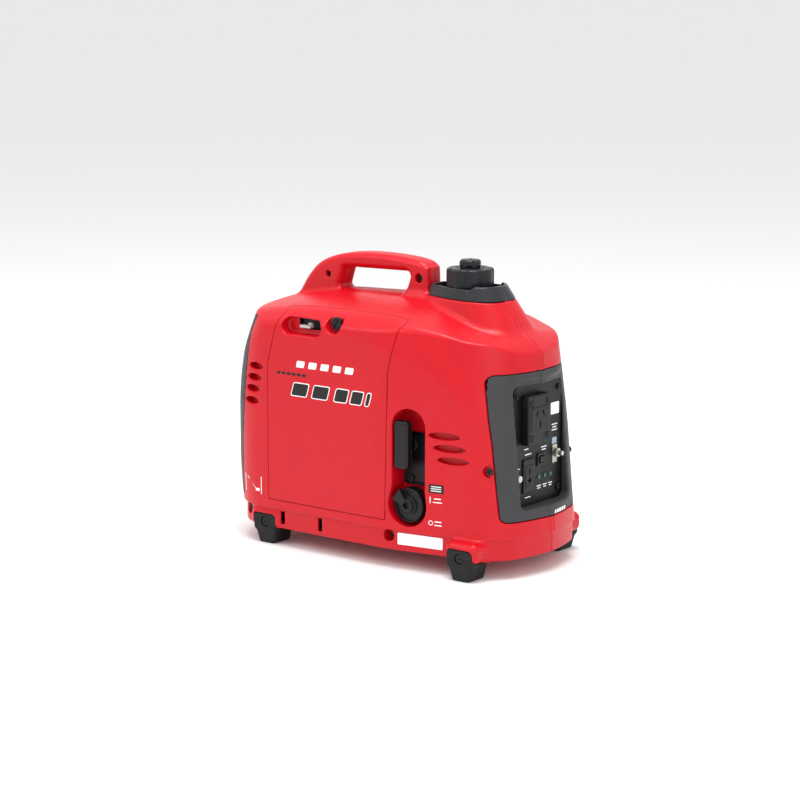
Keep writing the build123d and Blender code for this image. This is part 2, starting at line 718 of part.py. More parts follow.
with BuildPart() as breaker_button:
    add(rod(panel_plane(PANEL_X - 6), BREAKER_Y, BREAKER_Z, 4, 10.5))
    add(rod(panel_plane(PANEL_X - 12), BREAKER_Y, BREAKER_Z, 2, 7))
keep("breaker_button", breaker_button)

with BuildPart() as indicator_lamps:
    for y in LAMPS_Y:
        add(rod(panel_plane(PANEL_X - 4), y, LAMPS_Z, 2.5, 5.2))
keep("indicator_lamps", indicator_lamps)

with BuildPart() as ground_terminal:
    add(block((PANEL_X, PANEL_X + 1.2), (EARTH_Y - 5, EARTH_Y + 5), (EARTH_Z - 13, EARTH_Z + 10)))
    add(rod(panel_plane(PANEL_X - 8), EARTH_Y, EARTH_Z, 3, 21))
    with BuildSketch(panel_plane(PANEL_X + 1)):
        with Locations((EARTH_Y, EARTH_Z)):
            RegularPolygon(6, 6)
    extrude(amount=5.5)
keep("ground_terminal", ground_terminal)


def pan_screw(plane, x, y, head_r, head_t, shank_r, shank_l):
    """A cross-head screw: its head stands on the plane and its shank runs back from it."""
    with BuildPart() as screw:
        add(rod(plane, x, y, head_r, head_t))
        fillet(screw.edges().group_by(SortBy.LENGTH)[-1], 0.6)
        with BuildSketch(plane.offset(head_t)):
            with Locations((x, y)):
                Rectangle(head_r, 1)
                Rectangle(1, head_r)
        extrude(amount=-1.2, mode=Mode.SUBTRACT)
        add(rod(plane.offset(-shank_l), x, y, shank_r, shank_l + 0.5))
    return screw.part


with BuildPart() as case_screws:
    for side in (-1, 1):
        for x, z, y in (*[(x, z, SKIRT_FLOOR_Y) for x, z in SKIRT_SCREWS],
                        (*FRONT_SCREW, FRONT_FLOOR_Y)):
            add(pan_screw(across(side, y + 0.1), x, -side * z, SCREW_HEAD_R, SCREW_HEAD_T,
                          SCREW_R, 12))
    for x, z in HANDLE_SCREWS:
        add(pan_screw(across(-1, 9.1), x, z, SCREW_HEAD_R, SCREW_HEAD_T, SCREW_R - 0.1, 20))
    add(pan_screw(across(-1, POCKET_Y + 3.1), ROPE_X, GUIDE_SCREW_Z, SCREW_HEAD_R, 2.6,
                  SCREW_R, 5.4))
    for y, z in corners:
        add(pan_screw(panel_plane(PANEL_X + 0.1), y, z, 4, 2.6, SCREW_R, 9))
keep("case_screws", case_screws)

# ================================================================ feet
LOWER_TOP = BASE_Z - SLACK
with BuildPart() as foot_bolts:
    for side in (-1, 1):
        for x in FOOT_XS:
            plane = across(side, FOOT_Y - FOOT_WELL_D + 0.1)
            add(pan_screw(plane, x, -side * FOOT_BOLT_Z, FOOT_BOLT_HEAD_R, 4, FOOT_BOLT_R, 16))
keep("foot_bolts", foot_bolts)

for side, side_name in ((-1, "left"), (1, "right")):
    for x, end_name in zip(FOOT_XS, ("rear", "front")):
        with BuildPart() as foot:
            deep = sorted((side * (FOOT_Y - FOOT_D), side * FOOT_Y))
            mid_y = (deep[0] + deep[1]) / 2
            with BuildSketch(Plane.XY):
                with Locations((x, mid_y)):
                    RectangleRounded(FOOT_W - 2 * FOOT_TOE, FOOT_D - FOOT_TOE, 5)
            with BuildSketch(Plane.XY.offset(LOWER_TOP)):
                with Locations((x, mid_y)):
                    RectangleRounded(FOOT_W, FOOT_D, 5)
            loft(ruled=True)
            upper_y = sorted((side * (FOOT_Y - FOOT_UPPER_D), side * FOOT_Y))
            half = FOOT_W / 2
            add(block((x - half, x + half), upper_y, (LOWER_TOP - 4, FOOT_Z), 5, Axis.Y))
            add(cross_rod(side, x, FOOT_BOLT_Z, FOOT_WELL_R, FOOT_Y - FOOT_WELL_D, FAR),
                mode=Mode.SUBTRACT)
            add(cross_rod(side, x, FOOT_BOLT_Z, FOOT_BOLT_R + SLACK, 60, FAR),
                mode=Mode.SUBTRACT)
        keep(f"foot_{end_name}_{side_name}", foot)

# ================================================================ filler
COLLAR_X0 = HANDLE_FRONT_X - 13
with BuildPart() as filler_collar:
    add(hood_level(HOOD_Z + SLACK, HOOD_HALF_W, HOOD_FRONT_X, 0, COLLAR_X0))
    extrude(amount=COLLAR_Z - HOOD_Z - SLACK)
    fillet(filler_collar.faces().sort_by(Axis.Z)[-1].edges(), 1.5)
    add(hood_level(HOOD_Z + SLACK + COLLAR_FLOOR, HOOD_HALF_W, HOOD_FRONT_X, 3, HANDLE_FRONT_X + 3))
    extrude(amount=20, mode=Mode.SUBTRACT)
    notch_half = HANDLE_HALF_W + SLACK
    add(block((0, HANDLE_FRONT_X + SLACK), (-notch_half, notch_half), (HOOD_Z, 400)),
        mode=Mode.SUBTRACT)
    add(rod(Plane.XY.offset(HOOD_Z), CAP_X, 0, NECK_R + 3, 30), mode=Mode.SUBTRACT)
keep("filler_collar", filler_collar)

with BuildPart() as neck_grommet:
    add(ring(Plane.XY.offset(HOOD_Z + COLLAR_FLOOR + 1), CAP_X, 0, NECK_R + 7, NECK_R + 0.1, 2))
    add(ring(Plane.XY.offset(HOOD_Z - 4), CAP_X, 0, NECK_R + 2.8, NECK_R + 0.1, COLLAR_FLOOR + 5.5))
keep("neck_grommet", neck_grommet)

with BuildPart() as fuel_cap:
    with BuildSketch(Plane.XY.offset(CAP_Z0)):
        with Locations((CAP_X, 0)):
            Circle(CAP_R)
            with PolarLocations(CAP_R + 7, CAP_LOBES, start_angle=22.5):
                Circle(9.5, mode=Mode.SUBTRACT)
    extrude(amount=CAP_Z1 - CAP_Z0)
    fillet(fuel_cap.faces().sort_by(Axis.Z)[-1].edges(), 2)
    add(rod(Plane.XY.offset(CAP_Z0), CAP_X, 0, NECK_R + RUNNING, NECK_TOP_Z + 3 - CAP_Z0),
        mode=Mode.SUBTRACT)
    add(rod(Plane.XY.offset(CAP_Z0), CAP_X, 0, 4 + RUNNING, 40), mode=Mode.SUBTRACT)
keep("fuel_cap", fuel_cap)

with BuildPart() as vent_knob:
    add(rod(Plane.XY.offset(CAP_Z1 + 0.2), CAP_X, 0, KNOB_R, KNOB_Z - CAP_Z1 - 0.2))
    with BuildSketch(Plane.XY.offset(CAP_Z1 + 3)):
        with Locations((CAP_X, 0)):
            with PolarLocations(KNOB_R + 2, 10):
                Circle(4)
    extrude(amount=KNOB_Z, mode=Mode.SUBTRACT)
    add(rod(Plane.XY.offset(NECK_TOP_Z - 6), CAP_X, 0, 4, CAP_Z1 - NECK_TOP_Z + 10))
keep("vent_knob", vent_knob)

# ================================================================ pull starter
with BuildPart() as rope_guide_plate:
    add(block((POCKET_X - 23, POCKET_X + 19.5), (-POCKET_Y - 3, -POCKET_Y - 0.1), (106, 174), 4, Axis.Y))
    add(cross_rod(-1, ROPE_X, ROPE_Z, 9, POCKET_Y - 2, POCKET_Y + 5))
    add(cross_rod(-1, ROPE_X, ROPE_Z, ROPE_R + 0.5, POCKET_Y - 4, FAR), mode=Mode.SUBTRACT)
    add(cross_rod(-1, ROPE_X, GUIDE_SCREW_Z, SCREW_R + SLACK, 80, FAR), mode=Mode.SUBTRACT)
keep("rope_guide_plate", rope_guide_plate)

grip_y = (-GRIP_BACK_Y - GRIP_T, -GRIP_BACK_Y)
grip_z = (ROPE_Z + 2.5 - GRIP_H / 2, ROPE_Z + 2.5 + GRIP_H / 2)
with BuildPart() as recoil_grip:
    add(block((ROPE_X - GRIP_W / 2, ROPE_X + GRIP_W / 2), grip_y, grip_z, 5, Axis.X))
    fillet(recoil_grip.faces().sort_by(Axis.Y)[0].edges(), 2)
    add(cross_rod(-1, ROPE_X, ROPE_Z, ROPE_R + 0.1, 90, GRIP_BACK_Y + 8), mode=Mode.SUBTRACT)
keep("recoil_grip", recoil_grip)

with BuildPart() as recoil_rope:
    add(cross_rod(-1, ROPE_X, ROPE_Z, ROPE_R, 0, GRIP_BACK_Y + 7.9))
keep("recoil_rope", recoil_rope)

shaft = panel_plane(0)
with BuildPart() as recoil_reel:
    add(ring(shaft.offset(REEL_X[0]), 0, SHAFT_Z, REEL_R, REEL_POST_R + RUNNING,
             REEL_X[1] - REEL_X[0]))
    groove_x = (REEL_X[0] + REEL_X[1]) / 2 - 3
    add(ring(shaft.offset(groove_x), 0, SHAFT_Z, REEL_R + 1, ROPE_PITCH_R - ROPE_R - 0.1, 6),
        mode=Mode.SUBTRACT)
keep("recoil_reel", recoil_reel)

with BuildPart() as recoil_housing:
    add(rod(shaft.offset(STARTER_X[1] - 3), 0, SHAFT_Z, STARTER_R, 3))
    add(rod(shaft.offset(STARTER_X[0]), 0, SHAFT_Z, REEL_POST_R, STARTER_X[1] - STARTER_X[0]))
    with BuildSketch(shaft.offset(FAN_COVER_X[1] + 0.1)):
        with Locations((0, SHAFT_Z)):
            with PolarLocations(STARTER_R - 4.5, 3, start_angle=30):
                Circle(3)
    extrude(amount=STARTER_X[1] - FAN_COVER_X[1] - 1)
keep("recoil_housing", recoil_housing)

with BuildPart() as starter_cup:
    add(ring(shaft.offset(FAN_X[1] + 0.1), 0, SHAFT_Z, 25, SHAFT_R, 1.5))
    add(ring(shaft.offset(FAN_X[1] + 0.1), 0, SHAFT_Z, 25, 23, 7.5))
keep("starter_cup", starter_cup)

# ================================================================ fuel valve
with BuildPart() as fuel_valve_knob:
    add(cross_rod(-1, VALVE_X, VALVE_Z, VALVE_R, 94, VALVE_FACE_Y - 8))
    add(cross_rod(-1, VALVE_X, VALVE_Z, VALVE_R - 9, 94, VALVE_FACE_Y))
    with BuildSketch(side_plane(-VALVE_FACE_Y)):
        with Locations((VALVE_X - 10, VALVE_Z + 7)):
            Rectangle(22, 9, rotation=-35)
    extrude(amount=-12)
    add(cross_rod(-1, VALVE_X, VALVE_Z, VALVE_SHAFT_R, -COCK_Y[0] - 8, 96))
keep("fuel_valve_knob", fuel_valve_knob)

hose_y = (COCK_Y[0] + COCK_Y[1]) / 2
nipple_z = (VALVE_Z + 12, VALVE_Z + 24)
with BuildPart() as fuel_cock:
    add(block((VALVE_X - 12, VALVE_X + 12), COCK_Y, (VALVE_Z - 12, VALVE_Z + 12)))
    add(rod(Plane.XY.offset(nipple_z[0]), VALVE_X, hose_y, HOSE_BORE_R, nipple_z[1] - nipple_z[0]))
    add(cross_rod(-1, VALVE_X, VALVE_Z, VALVE_SHAFT_R + RUNNING, -COCK_Y[0] - 8.1, FAR),
        mode=Mode.SUBTRACT)
    add(block((VALVE_X - 3, VALVE_X + 3), (COCK_Y[1], -POCKET_Y + 32), (VALVE_Z - 12, VALVE_Z - 6)))
keep("fuel_cock", fuel_cock)

with BuildPart() as fuel_hose:
    add(ring(Plane.XY.offset(nipple_z[0] + 0.5), VALVE_X, hose_y, HOSE_R, HOSE_BORE_R + 0.05,
             TANK_Z[0] - nipple_z[0] - 1))
keep("fuel_hose", fuel_hose)

# ================================================================ fuel tank
with BuildPart() as tank_space:
    half = TANK_HALF_W - WALL
    inner_x = (TANK_X[0] + WALL, TANK_X[1] - WALL)
    add(block(inner_x, (-half, half), (TANK_Z[0] + WALL, TANK_Z[1] - WALL), 18 - WALL))
    fillet(tank_space.faces().filter_by(Axis.Z).edges(), 10 - WALL)

with BuildPart() as fuel_tank:
    half = TANK_HALF_W
    add(block(TANK_X, (-half, half), TANK_Z, 18))
    fillet(fuel_tank.faces().filter_by(Axis.Z).edges(), 10)
    add(rod(Plane.XY.offset(TANK_Z[1] - 1), CAP_X, 0, NECK_R, NECK_TOP_Z - TANK_Z[1] + 1))
    add(tank_space.part, mode=Mode.SUBTRACT)
    add(rod(Plane.XY.offset(TANK_Z[1] - 10), CAP_X, 0, NECK_BORE_R, 200), mode=Mode.SUBTRACT)
    add(rod(Plane.XY.offset(TANK_Z[0] - 12), VALVE_X, hose_y, HOSE_BORE_R, 13))
keep("fuel_tank", fuel_tank)

# ================================================================ tray and mounts
tray_top = TRAY_Z + TRAY_T
ear_y = FOOT_Y - FOOT_UPPER_D - 2 * SLACK - WALL
with BuildPart() as base_tray:
    add(block(TRAY_X, (-TRAY_HALF_W, TRAY_HALF_W), (TRAY_Z, tray_top), 25))
    for side in (-1, 1):
        for x in FOOT_XS:
            ear = sorted((side * (TRAY_HALF_W - 10), side * ear_y))
            add(block((x - 14, x + 14), ear, (TRAY_Z, tray_top)))
            lip = sorted((side * (ear_y - 6), side * ear_y))
            add(block((x - 14, x + 14), lip, (TRAY_Z, FOOT_Z - 1)))
            add(cross_rod(side, x, FOOT_BOLT_Z, FOOT_BOLT_R + SLACK, 60, FAR),
                mode=Mode.SUBTRACT)
keep("base_tray", base_tray)

MOUNTS = [(x, side * 36) for x in (CRANK_X[0] + 12, CRANK_X[1] - 12) for side in (-1, 1)]
fan_top = SHAFT_Z + FAN_COVER_R
with BuildPart() as rubber_mounts:
    for x, y in MOUNTS:
        add(rod(Plane.XY.offset(tray_top + 0.1), x, y, MOUNT_R, CRANK_Z[0] - tray_top - 0.2))
    for x in (8, 46):
        add(rod(Plane.XY.offset(fan_top + 0.1), x, 0, 7, TANK_Z[0] - fan_top - 0.2))
    for y in (-50, 50):
        pad_h = TANK_Z[0] - INVERTER_Z[1] - 0.2
        add(rod(Plane.XY.offset(INVERTER_Z[1] + 0.1), 130, y, 8, pad_h))
keep("rubber_mounts", rubber_mounts)

with BuildPart() as inverter_unit:
    half = INVERTER_HALF_W
    add(block(INVERTER_X, (-half, half), INVERTER_Z, 3))
    with BuildSketch(panel_plane(INVERTER_X[0])):
        with Locations((0, (INVERTER_Z[0] + INVERTER_Z[1]) / 2)):
            with GridLocations(9, 1, 15, 1):
                Rectangle(6.5, INVERTER_Z[1] - INVERTER_Z[0] + 2)
    extrude(amount=14, mode=Mode.SUBTRACT)
    for side in (-1, 1):
        legs = sorted((side * (half - 12), side * half))
        add(block((INVERTER_X[0] + 20, INVERTER_X[1]), legs, (tray_top + 0.1, INVERTER_Z[0])))
keep("inverter_unit", inverter_unit)

# ================================================================ engine
with BuildPart() as crankcase:
    add(block(CRANK_X, (-CRANK_HALF_W, CRANK_HALF_W), CRANK_Z, 8, Axis.X))
    wall = CRANK_WALL
    inner_x = (CRANK_X[0] + BEARING_T, CRANK_X[1] - BEARING_T)
    add(block(inner_x, (wall - CRANK_HALF_W, CRANK_HALF_W - wall),
              (CRANK_Z[0] + wall, CRANK_Z[1] - wall)), mode=Mode.SUBTRACT)
    add(rod(shaft.offset(-200), 0, SHAFT_Z, BEARING_R + 0.02, 400), mode=Mode.SUBTRACT)
    add(cross_rod(-1, DIPSTICK_X, DIPSTICK_Z, 14, CRANK_HALF_W - 2, CRANK_HALF_W + 10))
    add(cross_rod(-1, DIPSTICK_X, DIPSTICK_Z, 8 + RUNNING, 30, FAR), mode=Mode.SUBTRACT)
keep("crankcase", crankcase)

with BuildPart() as main_bearings:
    for x in (CRANK_X[0], CRANK_X[1] - BEARING_T):
        add(ring(shaft.offset(x), 0, SHAFT_Z, BEARING_R, SHAFT_R + RUNNING, BEARING_T))
keep("main_bearings", main_bearings)

with BuildPart() as crankshaft:
    add(rod(shaft.offset(CRANK_X[0] - 3), 0, SHAFT_Z, SHAFT_R, FAN_X[1] + 6 - CRANK_X[0] + 3))
    for x in (CYL_X - 16, CYL_X + 8):
        add(rod(shaft.offset(x), 0, SHAFT_Z, 28, 8))
    add(rod(shaft.offset(CYL_X - 10), 0, SHAFT_Z - 16, 9, 20))
    add(block((CYL_X - 7.9, CYL_X + 7.9), (-9, 9), (SHAFT_Z - 6.8, SHAFT_Z + 9)),
        mode=Mode.SUBTRACT)
keep("crankshaft", crankshaft)

with BuildPart() as cylinder:
    add(rod(Plane.XY.offset(CRANK_Z[1] + 0.1), CYL_X, 0, 26, HEAD_Z[0] - CRANK_Z[1] - 0.2))
    for row in range(FIN_COUNT):
        fin_z = CRANK_Z[1] + 3 + row * FIN_PITCH
        half = FIN_W / 2
        add(block((CYL_X - half, CYL_X + half), (-half, half), (fin_z, fin_z + FIN_T), 8))
    add(rod(Plane.XY.offset(100), CYL_X, 0, 20.5, 200), mode=Mode.SUBTRACT)
keep("cylinder", cylinder)

with BuildPart() as cylinder_head:
    half = FIN_W / 2
    add(block((CYL_X - half, CYL_X + half), (-half, half), HEAD_Z, 8))
    for side in (-1, 1):
        add(cross_rod(side, CYL_X, PORT_Z, INTAKE_R, 12, FAR), mode=Mode.SUBTRACT)
    add(rod(panel_plane(CYL_X - half - 10), 0, PORT_Z, 5 + RUNNING, 24), mode=Mode.SUBTRACT)
keep("cylinder_head", cylinder_head)

with BuildPart() as rocker_cover:
    z0 = HEAD_Z[1] + 0.1
    add(block((CYL_X - 26, CYL_X + 26), (-24, 24), (z0, z0 + ROCKER_H), 8))
    fillet(rocker_cover.faces().sort_by(Axis.Z)[-1].edges(), 4)
keep("rocker_cover", rocker_cover)

plug_x = CYL_X - FIN_W / 2
with BuildPart() as spark_plug:
    add(rod(panel_plane(plug_x - 8), 0, PORT_Z, 8, 7.9))
    add(rod(panel_plane(plug_x - 32), 0, PORT_Z, 4.5, 25))
    add(rod(panel_plane(plug_x - 1), 0, PORT_Z, 5, 13))
keep("spark_plug", spark_plug)

with BuildPart() as plug_cap:
    add(rod(panel_plane(plug_x - 34), 0, PORT_Z, 9, 24))
    add(rod(Plane.XY.offset(PORT_Z - 22), plug_x - 27, 0, 5.5, 20))
    add(rod(panel_plane(plug_x - 32.1), 0, PORT_Z, 4.5, 30), mode=Mode.SUBTRACT)
keep("plug_cap", plug_cap)

with BuildPart() as ignition_coil:
    coil_x = (CRANK_X[0] - 22, CRANK_X[0] - 0.1)
    add(block(coil_x, (-20, 20), (SHAFT_Z + 22, SHAFT_Z + 50), 3, Axis.X))
keep("ignition_coil", ignition_coil)

with BuildPart() as oil_dipstick:
    out_y = CRANK_HALF_W + 10.1
    add(cross_rod(-1, DIPSTICK_X, DIPSTICK_Z, 13, out_y, out_y + 9))
    with BuildSketch(side_plane(-out_y - 9)):
        with Locations((DIPSTICK_X, DIPSTICK_Z)):
            Rectangle(22, 5)
    extrude(amount=5)
    add(cross_rod(-1, DIPSTICK_X, DIPSTICK_Z, 8, CRANK_HALF_W - 6, out_y + 1))
    add(cross_rod(-1, DIPSTICK_X, DIPSTICK_Z, 3, 34, out_y))
keep("oil_dipstick", oil_dipstick)

# ================================================================ intake and exhaust
with BuildPart() as carburetor:
    add(block((CYL_X - 14, CYL_X + 14), (CLEANER_Y[1] + 0.1, -FIN_W / 2 - 0.1), CARB_Z, 3))
    add(rod(Plane.XY.offset(CARB_Z[0] - 18), CYL_X, -55, 13, 19))
    add(cross_rod(-1, CYL_X, PORT_Z, INTAKE_R, 0, FAR), mode=Mode.SUBTRACT)
keep("carburetor", carburetor)

lid_y = CLEANER_Y[0] + 6
with BuildPart() as air_cleaner_case:
    add(choke_bracket.part)
    add(block(CLEANER_X, (lid_y, CLEANER_Y[1]), CLEANER_Z, 6, Axis.Y))
    inner_x = (CLEANER_X[0] + 2, CLEANER_X[1] - 2)
    inner_z = (CLEANER_Z[0] + 2, CLEANER_Z[1] - 2)
    add(block(inner_x, (lid_y - 1, CLEANER_Y[1] - 2), inner_z, 4, Axis.Y), mode=Mode.SUBTRACT)
    add(cross_rod(-1, CYL_X, PORT_Z, INTAKE_R, 70, 90), mode=Mode.SUBTRACT)
keep("air_cleaner_case", air_cleaner_case)

with BuildPart() as air_cleaner_cover:
    add(block(CLEANER_X, (CLEANER_Y[0], lid_y - 0.1), CLEANER_Z, 6, Axis.Y))
    fillet(air_cleaner_cover.faces().sort_by(Axis.Y)[0].edges(), 2)
keep("air_cleaner_cover", air_cleaner_cover)

with BuildPart() as air_filter:
    foam_x = (CLEANER_X[0] + 2.5, CLEANER_X[1] - 2.5)
    foam_z = (CLEANER_Z[0] + 2.5, CLEANER_Z[1] - 2.5)
    add(block(foam_x, (lid_y + 0.3, CLEANER_Y[1] - 10), foam_z, 4, Axis.Y))
keep("air_filter", air_filter)

pipe_y = 64.0
pipe_x = -165.0
with BuildPart() as exhaust_pipe:
    with BuildLine():
        FilletPolyline((CYL_X, FIN_W / 2 + 0.1, PORT_Z), (CYL_X, pipe_y, PORT_Z),
                       (pipe_x, pipe_y, PORT_Z), (pipe_x, pipe_y, MUFFLER_Z[1] + 0.1), radius=16)
    with BuildSketch(across(1, FIN_W / 2 + 0.1)):
        with Locations((CYL_X, -PORT_Z)):
            Circle(PIPE_R)
            Circle(PIPE_R - 1.5, mode=Mode.SUBTRACT)
    sweep()
keep("exhaust_pipe", exhaust_pipe)

with BuildPart() as muffler:
    add(block(MUFFLER_X, MUFFLER_Y, MUFFLER_Z, 20, Axis.X))
    inner = [(a + 1.5, b - 1.5) for a, b in (MUFFLER_X, MUFFLER_Y, MUFFLER_Z)]
    add(block(*inner, 18, Axis.X), mode=Mode.SUBTRACT)
    add(rod(panel_plane(REAR_X + 2), OUTLET_Y, OUTLET_Z, OUTLET_R, MUFFLER_X[0] - REAR_X))
    add(rod(panel_plane(REAR_X - 10), OUTLET_Y, OUTLET_Z, OUTLET_R - 1.5, 60), mode=Mode.SUBTRACT)
    add(rod(Plane.XY.offset(MUFFLER_Z[1] - 5), pipe_x, pipe_y, PIPE_R - 1.5, 50),
        mode=Mode.SUBTRACT)
    for y in (MUFFLER_Y[0] + 25, MUFFLER_Y[1] - 25):
        feet_z = (tray_top + 0.1, MUFFLER_Z[0] + 1)
        add(block((-185, -155), (y - 1.5, y + 1.5), feet_z))
keep("muffler", muffler)

with BuildPart() as spark_arrester:
    add(ring(panel_plane(REAR_X + 3), OUTLET_Y, OUTLET_Z, OUTLET_R - 1.6, OUTLET_R - 3, 24))
keep("spark_arrester", spark_arrester)

# ================================================================ alternator and fan
with BuildPart() as stator:
    add(ring(shaft.offset(STATOR_X[0]), 0, SHAFT_Z, 36, STATOR_BORE_R, STATOR_X[1] - STATOR_X[0]))
    with BuildSketch(shaft.offset(STATOR_X[0])):
        with Locations((0, SHAFT_Z)):
            with PolarLocations(40, POLES):
                Rectangle(18, 6)
            with PolarLocations(STATOR_R - 2.5, POLES):
                Rectangle(4, 20)
    extrude(amount=STATOR_X[1] - STATOR_X[0])
    add(ring(shaft.offset(CRANK_X[1] + 0.1), 0, SHAFT_Z, 28, STATOR_BORE_R,
             STATOR_X[0] - CRANK_X[1]))
keep("stator", stator)

with BuildPart() as flywheel_rotor:
    x0, x1 = ROTOR_X
    add(ring(shaft.offset(x0), 0, SHAFT_Z, ROTOR_R, ROTOR_R - 5, x1 - x0))
    add(ring(shaft.offset(x1 - 5), 0, SHAFT_Z, ROTOR_R, SHAFT_R, 5))
    add(ring(shaft.offset(x1 - 20), 0, SHAFT_Z, 15, SHAFT_R, 20))
keep("flywheel_rotor", flywheel_rotor)

with BuildPart() as rotor_magnets:
    with BuildSketch(shaft.offset(ROTOR_X[0] + 1)):
        with Locations((0, SHAFT_Z)):
            Circle(ROTOR_R - 5)
            Circle(ROTOR_R - 5 - MAGNET_T, mode=Mode.SUBTRACT)
            with PolarLocations(ROTOR_R - 7, POLES):
                Rectangle(8, 4, mode=Mode.SUBTRACT)
    extrude(amount=28)
keep("rotor_magnets", rotor_magnets)

with BuildPart() as cooling_fan:
    x0, x1 = FAN_X
    add(ring(shaft.offset(x0), 0, SHAFT_Z, FAN_R, SHAFT_R, 2.5))
    with BuildSketch(shaft.offset(x0)):
        with Locations((0, SHAFT_Z)):
            with PolarLocations((FAN_R + 30) / 2, BLADES):
                Rectangle(FAN_R - 32, 2, rotation=25)
    extrude(amount=x1 - x0)
keep("cooling_fan", cooling_fan)

with BuildPart() as fan_cover:
    x0, x1 = FAN_COVER_X
    add(ring(shaft.offset(x0 + 0.1), 0, SHAFT_Z, FAN_COVER_R, FAN_COVER_R - 2.5, x1 - x0 - 0.1))
    add(ring(shaft.offset(x0 + 0.1), 0, SHAFT_Z, FAN_COVER_R, ROTOR_R, 2.5))
    add(ring(shaft.offset(x1 - 2.5), 0, SHAFT_Z, FAN_COVER_R, FAN_INLET_R, 2.5))
keep("fan_cover", fan_cover)
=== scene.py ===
"""Looks of the portable inverter generator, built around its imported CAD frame.

Lengths in the fields below are millimetres in the row frame; meshes are made in metres.
A field is a function of x, y, z that is negative inside a shape and grows by about one per
millimetre away from it. Moulded pieces are fields, turned into meshes by dual contouring.
"""
import itertools
import math
import bpy
import numpy as np
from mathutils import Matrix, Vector
from mathutils.geometry import delaunay_2d_cdt


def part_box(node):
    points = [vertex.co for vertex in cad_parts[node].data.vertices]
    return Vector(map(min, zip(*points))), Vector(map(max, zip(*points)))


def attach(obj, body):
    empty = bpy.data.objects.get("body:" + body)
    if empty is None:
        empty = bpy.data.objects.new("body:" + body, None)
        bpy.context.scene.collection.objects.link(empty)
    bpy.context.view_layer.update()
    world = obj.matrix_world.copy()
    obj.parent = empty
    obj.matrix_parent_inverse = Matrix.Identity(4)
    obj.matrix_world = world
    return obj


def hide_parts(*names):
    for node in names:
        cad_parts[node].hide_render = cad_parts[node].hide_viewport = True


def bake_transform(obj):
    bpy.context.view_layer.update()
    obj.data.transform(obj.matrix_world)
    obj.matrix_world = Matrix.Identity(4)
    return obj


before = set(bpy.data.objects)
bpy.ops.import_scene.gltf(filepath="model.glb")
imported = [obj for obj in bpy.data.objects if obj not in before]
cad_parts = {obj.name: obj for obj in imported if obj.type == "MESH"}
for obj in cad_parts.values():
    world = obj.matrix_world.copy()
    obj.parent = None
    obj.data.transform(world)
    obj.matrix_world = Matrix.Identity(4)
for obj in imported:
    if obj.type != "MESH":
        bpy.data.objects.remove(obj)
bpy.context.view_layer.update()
MM = 0.001
DRAFT = 1.0


def cad(node):
    """Lowest and highest corner of a CAD node, in millimetres."""
    low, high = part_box(node)
    return np.array(low) / MM, np.array(high) / MM


def middle(low, high):
    """Centre of a box along x and along z."""
    return (low[0] + high[0]) / 2, (low[2] + high[2]) / 2


# ---------------------------------------------------------------- sizes read from the frame
SHELL_LOW, SHELL_HIGH = cad("left_shell")
REAR_X, BASE_Z, HANDLE_TOP = SHELL_LOW[0], SHELL_LOW[2], SHELL_HIGH[2]
FRONT_X = -REAR_X
HALF_W = -SHELL_LOW[1]
CAP_LOW, CAP_HIGH = cad("fuel_cap")
KNOB_LOW, KNOB_HIGH = cad("vent_knob")
CAP_X = middle(CAP_LOW, CAP_HIGH)[0]
COLLAR_LOW, COLLAR_HIGH = cad("filler_collar")
GRIP_LOW, GRIP_HIGH = cad("recoil_grip")
VALVE_LOW, VALVE_HIGH = cad("fuel_valve_knob")
AC_LOW, AC_HIGH = cad("ac_outlet")
DC_LOW, DC_HIGH = cad("dc_outlet")
GUIDE_LOW, GUIDE_HIGH = cad("rope_guide_plate")
DIAL_LOW, DIAL_HIGH = cad("cover_screw")
LEVER_LOW, LEVER_HIGH = cad("choke_lever")
ROPE_LOW, ROPE_HIGH = cad("recoil_rope")
VALVE_X, VALVE_Z = middle(VALVE_LOW, VALVE_HIGH)
ROPE_X, ROPE_Z = middle(ROPE_LOW, ROPE_HIGH)
DIAL_X, DIAL_Z = middle(DIAL_LOW, DIAL_HIGH)
PANEL_X = cad("control_panel")[1][0]

# ---------------------------------------------------------------- sizes of the case form
FAR = 400.0
WALL = 3.4
LOUVRE_DEPTH = 10.0
SEAM = 0.45              # half the gap between neighbouring covers
LIP_Z = 50.0
CROWN_Z = 330.0
SKIRT_INSET = 4.0
FRONT_LEAN = 27.0
FRONT_BULGE = 24.0
FRONT_HALF_W = 96.0
FRONT_CURVE = 1.6            # power of the bow across the front
TAPER_X = 45.0
TAPER_BLEND = 3.0
REAR_CORNER_R = 66.0
REAR_LEAN, REAR_LEAN_Z, REAR_LEAN_RUN = 24.0, 170.0, 130.0
REAR_TUCK, REAR_TUCK_Z, REAR_TUCK_RUN = 5.0, 120.0, 70.0
FRONT_CORNER_R = 35.0
ARC = (-45.0, -8.0, 305.0)   # centre x, z and radius of the crease across the side
ARC_LEAN = 0.20
ARC_BLEND = 1.6
ROOF_Z = 329.5
ROOF_FALLS = ((329, -0.27, 62, 10), (293, -1.0, 186, 10),      # height, slope, x, blend
              (320, 0.22, -160, 14), (306, 1.6, -208.5, 10))
CAMBER = 0.07
CAMBER_FALLS = ((3.5, 0.19, 50, 5), (13, 0.8, 99, 6))          # drop, slope, y, blend
ROOF_EDGE_R = 3.5
SPINE_HALF_W, SPINE_EDGE, SPINE_HEIGHT = 5.5, 1.2, 0.9
SPINE_X, SPINE_RUN = 120.0, 20.0
SKIRT_TOP_Z = LIP_Z + 8
HOOD_Z = 334.0
HOOD_FOOT_Z = 250.0
HOOD_FRONT = (205.0, 153.0)
HOOD_HALF_W = (60.0, 40.0)
HOOD_REAR_X = 2.0
HOOD_CORNER_R = 32.0
HOOD_DRAW = (21.0, 38.0, 82.0)   # how far the crest draws in, up to which x, over which run
HOOD_EDGE_R = 6.0
